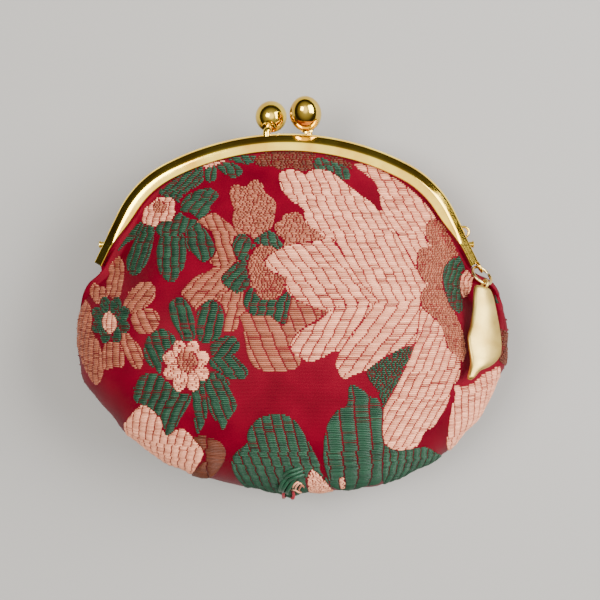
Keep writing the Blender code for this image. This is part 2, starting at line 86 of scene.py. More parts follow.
def smooth_line(points, steps):
    """A closed curve through points: the Catmull-Rom cubic from each to the next."""
    p0, p1, p2, p3 = (np.roll(points, shift, 0)[:, None] for shift in (1, 0, -1, -2))
    t = (np.arange(steps) / steps)[:, None]
    curve = 2 * p1 + (p2 - p0) * t + (2 * p0 - 5 * p1 + 4 * p2 - p3) * t**2
    curve = (curve + (3 * p1 - p0 - 3 * p2 + p3) * t**3) / 2
    return curve.reshape(-1, 2)


def hermite(at, knots, values):
    """A cubic through the knots whose slope at each is the chord between its neighbours."""
    last = len(knots) - 1
    numbers = np.arange(last + 1)
    before, after = np.maximum(numbers - 1, 0), np.minimum(numbers + 1, last)
    slope = (values[after] - values[before]) / (knots[after] - knots[before])
    row = np.clip(np.searchsorted(knots, at) - 1, 0, last - 1)
    span = knots[row + 1] - knots[row]
    t = (at - knots[row]) / span
    rise = values[row + 1] - values[row]
    bend = (1 - t) * (slope[row] * span - rise) + t * (rise - slope[row + 1] * span)
    return values[row] + t * rise + t * (1 - t) * bend


def rounded(line, steps):
    """A smooth path in space through a few points, by the cubic above in each coordinate."""
    knots = np.arange(float(len(line)))
    share = np.linspace(0.0, knots[-1], steps)
    return np.stack([hermite(share, knots, line[:, axis]) for axis in range(3)], -1)


def arch(along, inset=0.0):
    """x and y on the arch at these distances from its top, moved inwards by inset.

    A flat arc, then a tighter one, then a straight leg; the left side is the mirror image.
    """
    far = np.abs(along)
    turn = np.minimum(far, TOP_LENGTH) / TOP_RADIUS
    turn = turn + (np.clip(far, TOP_LENGTH, LEG_START) - TOP_LENGTH) / SHOULDER_RADIUS
    top = np.minimum(turn, TOP_SWEEP)
    leg = np.maximum(far - LEG_START, 0.0)
    x = TOP_RADIUS * np.sin(top) + SHOULDER_RADIUS * (np.sin(turn) - np.sin(top))
    y = ARCH_TOP_Y - TOP_RADIUS + TOP_RADIUS * np.cos(top)
    y = y + SHOULDER_RADIUS * (np.cos(turn) - np.cos(top))
    x = x + leg * math.cos(LEG_TILT) - inset * np.sin(turn)
    y = y - leg * math.sin(LEG_TILT) - inset * np.cos(turn)
    return np.where(np.asarray(along) < 0, -x, x), y


def grid_faces(rows, columns, closed_rows=False, closed_columns=False):
    """Quads of a grid of points, as an array of four point numbers each."""
    r = np.arange(rows if closed_rows else rows - 1)[:, None]
    c = np.arange(columns if closed_columns else columns - 1)[None, :]
    r2, c2 = (r + 1) % rows, (c + 1) % columns
    quads = [r * columns + c, r2 * columns + c, r2 * columns + c2, r * columns + c2]
    return np.stack([np.broadcast_to(q, (r.size, c.size)) for q in quads], -1).reshape(-1, 4)


def outwards(points, faces):
    """The faces, turned over if they enclose a negative volume: the sum of a . (b x c) over them."""
    volume = 0.0
    for group in faces:
        for corner in range(1, group.shape[1] - 1):
            b, c = points[group[:, corner]], points[group[:, corner + 1]]
            volume += np.einsum("ij,ij->", points[group[:, 0]], np.cross(b, c))
    return faces if volume >= 0 else [group[:, ::-1] for group in faces]


def closed_loft(rings, endless=False):
    """A closed skin over an array of rings of points, flat at both ends or running into itself."""
    rows, columns = rings.shape[:2]
    faces = [grid_faces(rows, columns, closed_rows=endless, closed_columns=True)]
    if not endless:
        ring = np.arange(columns)
        faces.append(np.stack([ring, (rows - 1) * columns + ring[::-1]]))
    points = rings.reshape(-1, 3)
    return points, outwards(points - points.mean(0), faces)


def tube(path, radius, sides=20, endless=False):
    """A round bar: at each point of the path a circle square to it, of the radius given there."""
    ahead = np.roll(path, -1, 0) - np.roll(path, 1, 0) if endless else np.gradient(path, axis=0)
    along = unit(ahead)
    level = np.linalg.svd(path - path.mean(0))[2][-1]
    side = unit(np.cross(along, level))
    over = np.cross(side, along)
    turn = full_turn(sides)[:, None]
    reach = np.broadcast_to(radius, len(path))[:, None, None]
    ring = np.cos(turn) * side[:, None] + np.sin(turn) * over[:, None]
    return closed_loft(path[:, None] + reach * ring, endless)


def joined(*parts):
    """Several closed skins as one list of points and one of face arrays."""
    points, faces, start = [], [], 0
    for part_points, part_faces in parts:
        points.append(part_points)
        faces += [group + start for group in part_faces]
        start += len(part_points)
    return np.concatenate(points), faces


def add_object(name, data):
    made = bpy.data.objects.new(name, data)
    bpy.context.scene.collection.objects.link(made)
    return made


def make_piece(name, part, look, node=None, uv=None, tone_and_painted_shading=None, crease=38.0):
    """A mesh object from points in millimetres and face arrays, in place of a node of the part.
    uv and the tone are for each point; on the floats the tone also holds painted shade at their ends and a
    slight painted highlight on their crowns."""
    points, faces = part
    mesh = bpy.data.meshes.new(name)
    mesh.vertices.add(len(points))
    mesh.vertices.foreach_set("co", (points * MM).ravel())
    corner = np.concatenate([group.ravel() for group in faces]).astype(np.int32)
    size = np.concatenate([np.full(len(group), group.shape[1]) for group in faces])
    mesh.loops.add(len(corner))
    mesh.loops.foreach_set("vertex_index", corner)
    mesh.polygons.add(len(size))
    mesh.polygons.foreach_set("loop_start", (np.cumsum(size) - size).astype(np.int32))
    mesh.update(calc_edges=True)
    if uv is not None:
        layer = mesh.uv_layers.new(name="cloth")
        layer.data.foreach_set("uv", uv.reshape(-1, 2)[corner].ravel())
    if tone_and_painted_shading is not None:
        layer = mesh.attributes.new("tone_and_painted_shading", "FLOAT", "POINT")
        layer.data.foreach_set("value", tone_and_painted_shading.ravel())
    mesh.validate()
    mesh.shade_smooth()
    if crease:
        mesh.set_sharp_from_angle(angle=math.radians(crease))
    mesh.materials.append(look)
    made = add_object(name, mesh)
    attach(made, "root")
    if node:
        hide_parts(node)
    return made


# materials


class Look:
    """A Principled material under construction."""

    def __init__(self, name):
        self.material = bpy.data.materials.new(name)
        self.material.use_nodes = True
        self.tree = self.material.node_tree
        self.shader = self.tree.nodes["Principled BSDF"]

    def fill(self, socket, value):
        """Links a socket to another one, or gives it a constant."""
        if isinstance(value, bpy.types.NodeSocket):
            self.tree.links.new(value, socket)
        else:
            socket.default_value = value

    def node(self, kind, **values):
        """A new node. Names that start with in_ are its inputs, by name or number."""
        made = self.tree.nodes.new(kind)
        for key, value in values.items():
            if key.startswith("in_"):
                name = key[3:]
                self.fill(made.inputs[int(name) if name.isdigit() else name.replace("_", " ")], value)
            else:
                setattr(made, key, value)
        return made

    def set(self, name, value):
        self.fill(self.shader.inputs[name], value)

    def maths(self, operation, a, b, c=0.0):
        return self.node("ShaderNodeMath", operation=operation, in_0=a, in_1=b, in_2=c).outputs[0]

    def blend(self, a, share_a, b, share_b):
        """The sum of two values, each times its share."""
        return self.maths("ADD", self.maths("MULTIPLY", a, share_a), self.maths("MULTIPLY", b, share_b))

    def colour(self, factor, dark, light):
        """The base colour: a ramp between two stops, each a place and six hexadecimal digits."""
        made = self.node("ShaderNodeValToRGB", in_Fac=factor)
        for element, (place, text) in zip(made.color_ramp.elements, (dark, light)):
            element.position = place
            element.color = (*linear(text), 1.0)
        self.set("Base Color", made.outputs["Color"])

    def noise(self, vector, scale, detail):
        made = self.node("ShaderNodeTexNoise", in_Vector=vector, in_Scale=scale, in_Detail=detail)
        return made.outputs["Fac"]

    def bands(self, vector, scale, direction, distortion):
        made = self.node(
            "ShaderNodeTexWave", wave_type="BANDS", bands_direction=direction, in_Vector=vector,
            in_Scale=scale, in_Distortion=distortion,
        )
        return made.outputs["Fac"]

    def stretched(self, vector, scale):
        return self.node("ShaderNodeMapping", in_Vector=vector, in_Scale=scale).outputs[0]

    def bump(self, strength, distance, height):
        made = self.node("ShaderNodeBump", in_Strength=strength, in_Distance=distance, in_Height=height)
        self.set("Normal", made.outputs[0])


def linear(text):
    """A colour written as six hexadecimal digits, as linear light."""
    parts = np.array([int(text[i : i + 2], 16) for i in (0, 2, 4)]) / 255
    return tuple(np.where(parts < 0.04045, parts / 12.92, ((parts + 0.055) / 1.055) ** 2.4).tolist())


def metal_look(name, light, dark, roughness, wear, grain):
    """Plated metal: cloudy tarnish, fine hairlines, tiny pits, and softer rubbed places."""
    look = Look(name)
    place = look.node("ShaderNodeTexCoord").outputs["Object"]
    cloud = look.noise(place, 160.0, 4.0)
    hairline = look.noise(look.stretched(place, (300.0, 4200.0, 1500.0)), 1.0, 3.0)
    pits = look.noise(place, 2600.0, 2.0)
    look.colour(cloud, (0.3, dark), (0.62, light))
    look.set("Metallic", 1.0)
    rubbed = look.maths("MULTIPLY", cloud, hairline)
    look.set("Roughness", look.maths("MULTIPLY_ADD", rubbed, wear, roughness))
    look.bump(0.06, 0.00002, look.maths("ADD", look.maths("MULTIPLY", pits, grain), hairline))
    return look.material


def thread_look(name, dark, light):
    """Silky floss: each float has its own tone, with painted shade at its ends and a slight painted
    highlight on its crown, and fine filaments run along it.
    """
    look = Look(name)
    uv = look.node("ShaderNodeUVMap", uv_map="cloth").outputs[0]
    # the tone attribute holds each float's random tone plus painted shade at its ends and a slight painted
    # highlight on its crown
    tone_and_painted_shading = look.node("ShaderNodeAttribute", attribute_name="tone_and_painted_shading").outputs["Fac"]
    filament = look.noise(look.stretched(uv, (0.5, 9.0, 1.0)), 1.0, 3.0)
    look.colour(look.blend(tone_and_painted_shading, 0.62, filament, 0.42), (0.12, dark), (0.88, light))
    look.set("Roughness", 0.42)
    look.set("Specular IOR Level", 0.3)
    look.bump(0.5, 0.00006, filament)
    return look.material


def satin_look(name, dark, light):
    """Satin ground: close weft ribs crossed by fine warp, with a slight colour cloud."""
    look = Look(name)
    uv = look.node("ShaderNodeUVMap", uv_map="cloth").outputs[0]
    weft = look.bands(uv, 1.05, "Y", 0.6)
    warp = look.bands(uv, 1.4, "X", 1.2)
    speck = look.noise(uv, 5.5, 2.0)
    cloud = look.noise(uv, 0.12, 2.0)
    look.colour(look.blend(speck, 0.55, cloud, 0.45), (0.32, dark), (0.68, light))
    look.set("Roughness", 0.5)
    look.set("Specular IOR Level", 0.2)
    look.set("Specular Tint", (1.0, 0.3, 0.3, 1.0))
    weave = look.maths("ADD", weft, look.maths("MULTIPLY", warp, 0.6))
    look.bump(0.35, 0.00005, look.maths("ADD", weave, speck))
    return look.material


GOLD = metal_look("polished_gold_plate", "FBDA58", "DFAE3C", 0.06, 0.2, 0.5)
PALE_GOLD = metal_look("pale_gold_wire", "F3DC9A", "C9A862", 0.14, 0.25, 0.8)
BRASS = metal_look("satin_pale_brass", "E0C472", "B8964C", 0.36, 0.3, 1.6)
SATIN = satin_look("crimson_satin", "4A000F", "74001C")
THREADS = {
    "pink": thread_look("pink_floss", "8E3A28", "FFB28C"),
    "copper": thread_look("copper_floss", "5E2518", "B26A4E"),
    "brown": thread_look("brown_floss", "34140A", "6C3620"),
    "green": thread_look("green_floss", "05170E", "234B34"),
    "crimson": thread_look("crimson_floss", "5A000C", "A0142A"),
}

# the camera stands over the purse, leaning a little towards the clasp balls

CAMERA_HEIGHT = 290.0
CAMERA_LEAN = math.radians(4.0)
CAMERA_BACK = np.array([0.0, math.sin(CAMERA_LEAN), math.cos(CAMERA_LEAN)])
CAMERA_UP = np.array([0.0, math.cos(CAMERA_LEAN), -math.sin(CAMERA_LEAN)])
SENSOR = 36.0

# the flower chart is what the camera sees: 600 squares a side, counted from the upper left
CHART_SQUARES = 600
CHART_UNIT = 0.223
CHART_MIDDLE = (300.0, 300.0)
CHART_CENTRE = np.array([3.0, 6.5, SEAM])


def add_camera():
    """The camera looks at the chart's centre from above, and its picture is as wide as the chart."""
    data = bpy.data.cameras.new("camera")
    data.sensor_width = SENSOR
    data.lens = SENSOR * CAMERA_HEIGHT / (CHART_UNIT * CHART_SQUARES)
    data.clip_start = 0.01
    data.clip_end = 10.0
    made = add_object("camera", data)
    turn = Matrix(((1.0, 0.0, 0.0), CAMERA_UP, CAMERA_BACK)).transposed().to_4x4()
    made.matrix_world = Matrix.Translation((CHART_CENTRE + CAMERA_BACK * CAMERA_HEIGHT) * MM) @ turn
    bpy.context.scene.camera = made


def on_chart(points):
    """Where points of the purse fall on the flower chart: a view from the camera's place."""
    towards = points - CHART_CENTRE
    near = CAMERA_HEIGHT / (CAMERA_HEIGHT - towards @ CAMERA_BACK)
    across = towards[..., 0] * near / CHART_UNIT
    down = -(towards @ CAMERA_UP) * near / CHART_UNIT
    return np.stack([across, down], -1) + CHART_MIDDLE


# the bag

# the middle of the bag is round like an ellipse, and its border turns into the real outline
BELLY_HALF_X = 48.0
BELLY_HALF_Y = 39.0
# for each half: its swell, the share of a straight slope under the frame, the width held flat there
HALF_SHAPES = {1: (20.0, 1.0, 2.7), -1: (24.0, 0.0, 4.0)}
CHANNEL_INSET = 1.3
LEG_INSET = 2.5
HELD_EDGE_Z = 2.55
# the powers a and b of the dome where it is round and where it slopes up from the frame
ROUND_DOME = (2.4, 0.5)
SLOPED_DOME = (1.75, 1.0)
TABLE_SOFTNESS = 0.35
# where the dome is lowered: at the hinges, at the drawn-in bottom with its tip, and at the charm
HINGE_CORNER = (43.0, 11.0)
HINGE_PINCH_REACH = 7.5
TIP_DIRECTION = -89.0
TIP_SPREAD = 3.0
TIP_LENGTH = 1.4
PUCKER_X = 0.8
PUCKER_SPREAD = 2.0
PUCKER_DEPTH = 1.6
DENT_SPREAD = 6.0
DENT_DEPTH = 3.4
CHARM_TOP = np.array([43.1, 9.7, 5.6])
CHARM_TIP = np.array([41.2, -11.2, 13.2])

# the sewn edge: directions in degrees, and how far out it is there
EDGE_DEGREES, EDGE_REACH = np.array([
    (-196.5, 43.3), (-192, 45.4), (-186, 46.3), (-177, 47.0), (-167, 46.8), (-155, 44.1),
    (-140, 41.5), (-125, 39.1), (-110, 36.9), (-98, 36.5), (-88, 36.8), (-78, 37.3), (-65, 39.6),
    (-52, 42.2), (-40, 44.7), (-28, 46.8), (-15, 48.6), (-5, 49.7), (5, 48.8), (12, 46.6), (15.6, 43.3),
]).T


def bag_border(degrees):
    """The bag's edge in these directions: the arch's inset line above, the sewn edge below."""
    along = np.linspace(-LEG_START - FRONT_LEG, LEG_START + FRONT_LEG, 900)
    inset = mix(CHANNEL_INSET, LEG_INSET, ease(np.abs(along) - LEG_START, -2.5, 2.5))
    x, y = arch(along, inset)
    held_turn = np.degrees(np.unwrap(np.arctan2(y, x)))
    sewn_turn = np.linspace(EDGE_DEGREES[0], EDGE_DEGREES[-1], 900)
    sewn = hermite(sewn_turn, EDGE_DEGREES, EDGE_REACH)
    turn = np.concatenate([sewn_turn, held_turn[::-1]]) % 360
    reach = np.concatenate([sewn, np.hypot(x, y)[::-1]])
    order = np.argsort(turn)
    return np.interp(degrees % 360, turn[order], reach[order], period=360)


def off_top(degrees):
    return np.abs(turned_from(degrees, 90.0))


def charm_dent(x, y, share):
    """How deep the charm presses into the front: along its line, a bell curve across it."""
    down = (CHARM_TOP[1] - y) / (CHARM_TOP[1] - CHARM_TIP[1])
    middle = mix(CHARM_TOP[0], CHARM_TIP[0], down) + 0.5
    under = ease(down, -0.4, 0.1) * (1.0 - ease(down, 0.55, 1.1)) * ease(1.0 - share, 0.0, 0.06)
    return DENT_DEPTH * under * np.exp(-(((x - middle) / DENT_SPREAD) ** 2))


def bag_shape(degrees, share, up):
    """The cloth of one half, for directions and shares of the way out to the edge.

    The height is that of a superellipse dome: (1 - share^a)^b times the swell, with a gentler
    a and b under the frame, where the cloth leaves the channel flat and slopes up. It is lower at
    the hinges, the drawn-in bottom and the charm, and the back is cut off softly at the table.
    """
    swell, slope, held_flat = HALF_SHAPES[up]
    turn = np.radians(degrees)
    reach = bag_border(degrees)
    even = 1.0 / np.hypot(np.cos(turn) / BELLY_HALF_X, np.sin(turn) / BELLY_HALF_Y)
    far = share * mix(even, reach, share**3)
    tip = np.exp(-((turned_from(degrees, TIP_DIRECTION) / TIP_SPREAD) ** 2)) * share**10
    x, y = far * np.cos(turn), far * np.sin(turn) - TIP_LENGTH * tip
    off = off_top(degrees)
    held = 1.0 - ease(off, 74.0, 86.0)
    at_edge = (1.0 - ease(off, 40.0, 105.0)) * mix(slope, 1.0, ease(off, 50.0, 72.0))
    sloped = mix(0.5 * slope, at_edge, ease(share, 0.0, 0.6))
    free = 1.0 - held * held_flat / reach
    out = np.minimum(share * (1.0 + (1.0 / free - 1.0) * (share / free) ** 3), 1.0)
    a, b = (mix(*powers, sloped) for powers in zip(ROUND_DOME, SLOPED_DOME))
    corner = np.hypot(np.abs(x) - HINGE_CORNER[0], y - HINGE_CORNER[1])
    pinch = 0.5 * np.exp(-((corner / HINGE_PINCH_REACH) ** 2))
    pucker = np.exp(-(((x - PUCKER_X) / PUCKER_SPREAD) ** 2)) * ease(share, 0.7, 0.95) * ease(-y, 15.0, 30.0)
    height = held * HELD_EDGE_Z * out**8 + swell * (1.0 - out**a) ** b * (1.0 - pinch)
    height = height - PUCKER_DEPTH * pucker * (1.0 - share) ** 0.3
    if up > 0:
        height = np.maximum(height - charm_dent(x, y, share), 0.0)
    else:
        below = (SEAM - np.maximum(height, 0.0)) / TABLE_SOFTNESS
        height = SEAM - TABLE_SOFTNESS * np.log1p(np.exp(below))
    return np.stack([x, y, SEAM + up * height], -1)


# how far the cloth lies inside the dome, so that the floss on it reaches the dome's height
CLOTH_SUNK = 0.18
CLOTH_THICK = 1.0
# the steps of the table, round the middle and outwards, and of the cloth's mesh
ANGLES = 1440
REACHES = 260
FINE_STEPS = 1400
SKIN_COLUMNS = 240
SKIN_ROWS = 80
# the gathers, the slack and the groove of the seam: heights, and how far they reach inwards
GATHER_HEIGHT = 0.32
GATHER_REACH = 4.5
SLACK_HEIGHT = {1: 0.22, -1: 0.0}
GROOVE_DEPTH = 0.55
GROOVE_WIDTH = 0.8


class Cloth:
    """One half of the bag: a table of points and normals, by direction and by distance along the
    cloth from its middle. Up is 1 for the front and -1 for the back."""

    def __init__(self, up):
        self.up = up
        self.degrees = np.arange(ANGLES) * 360.0 / ANGLES
        direction = self.degrees[:, None]
        share = np.sin(np.linspace(0.0, math.pi / 2, FINE_STEPS))
        steps = np.linalg.norm(np.diff(bag_shape(direction, share[None, :], up), axis=1), axis=2)
        length = np.pad(np.cumsum(steps, axis=1), ((0, 0), (1, 0)))
        rim = length[:, -1]
        self.rim = (rim + np.roll(rim, 1) + np.roll(rim, -1)) / 3
        # each direction's lengths are raised by twice its number, so that one interp serves them all
        raised = 2 * np.arange(ANGLES)[:, None]
        wanted = np.linspace(0.0, 1.0, REACHES) + raised
        found = np.interp(wanted.ravel(), (length / rim[:, None] + raised).ravel(), np.tile(share, ANGLES))
        self.table = bag_shape(direction, found.reshape(ANGLES, REACHES), up)
        self.ripple()
        along = np.gradient(self.table, axis=1)
        around = np.roll(self.table, -1, 0) - np.roll(self.table, 1, 0)
        normal = np.cross(along, around) * up
        normal[:, 0] = (0.0, 0.0, up)
        self.normal = unit(normal)
        self.table = self.table - CLOTH_SUNK * self.normal

    def ripple(self):
        """Gathers at the seam and slack in the cloth: sums of sines that fade inwards."""
        turn = np.radians(self.degrees)[:, None]
        from_edge = (1.0 - np.linspace(0.0, 1.0, REACHES)) * self.rim[:, None]
        sewn = ease(off_top(self.degrees)[:, None], 80.0, 100.0)
        at_groove = np.exp(-((from_edge / GROOVE_WIDTH) ** 2))
        gather = np.sin(23 * turn + 2.0 * np.sin(3 * turn)) + 0.6 * np.sin(41 * turn + self.up)
        gather = gather * np.exp(-from_edge / GATHER_REACH) * (1.0 - at_groove) * sewn
        slack = np.sin(5 * turn + 0.8) * np.sin(from_edge / 5.5 + 1.3 * np.sin(2 * turn))
        slack = slack * np.exp(-(((from_edge - 16.0) / 9.0) ** 2))
        lift = GATHER_HEIGHT * gather + SLACK_HEIGHT[self.up] * slack
        out = lift - GROOVE_DEPTH * at_groove * sewn
        self.table[..., 0] += np.cos(turn) * out
        self.table[..., 1] += np.sin(turn) * out
        self.table[..., 2] += self.up * 0.4 * lift * (1.0 - np.exp(-from_edge / 6.0))

    def at(self, p, q):
        """The point, the outward normal and the share of the way out, at distances p and q along
        the cloth from its middle, by blending the table."""
        turn = np.degrees(np.arctan2(q, p)) % 360 / 360.0 * ANGLES
        column = np.floor(turn).astype(int)
        side = (turn - column)[..., None]
        a, b = column % ANGLES, (column + 1) % ANGLES
        share = np.hypot(p, q) / mix(self.rim[a], self.rim[b], side[..., 0])
        reach = np.clip(share, 0.0, 1.0) * (REACHES - 1)
        low = np.minimum(np.floor(reach).astype(int), REACHES - 2)
        out = (reach - low)[..., None]
        point, normal = (
            mix(mix(t[a, low], t[b, low], side), mix(t[a, low + 1], t[b, low + 1], side), out)
            for t in (self.table, self.normal)
        )
        return point, normal, share

    def skin(self):
        """The cloth as rings of points round its middle, closed by a fan, with uv along the cloth."""
        pick = np.linspace(0, ANGLES, SKIN_COLUMNS, endpoint=False).astype(int)
        share = np.linspace(0.0, 1.0, SKIN_ROWS) ** 0.85
        low = np.unique(np.round(share * (REACHES - 1)).astype(int))[1:]
        rings = self.table[pick][:, low].transpose(1, 0, 2)
        points = np.concatenate([self.table[:1, 0], rings.reshape(-1, 3)])
        ring = np.arange(SKIN_COLUMNS)
        fan = np.stack([0 * ring, 1 + ring, 1 + (ring + 1) % SKIN_COLUMNS], -1)
        faces = [grid_faces(len(low), SKIN_COLUMNS, closed_columns=True) + 1, fan]
        if self.up < 0:
            faces = [group[:, ::-1] for group in faces]
        turn = np.radians(self.degrees[pick])
        arc = (low / (REACHES - 1))[:, None] * self.rim[pick]
        uv = np.stack([arc * np.cos(turn), arc * np.sin(turn)], -1).reshape(-1, 2)
        return (points, faces), np.concatenate([[[0.0, 0.0]], uv])


def cloth_piece(name, cloth, node):
    """The satin of one half, with its thickness laid inwards."""
    skin, uv = cloth.skin()
    made = make_piece(name, skin, SATIN, node, uv, crease=0.0)
    wall = made.modifiers.new("wall", "SOLIDIFY")
    wall.thickness = CLOTH_THICK * MM
    wall.offset = -1.0
    return made


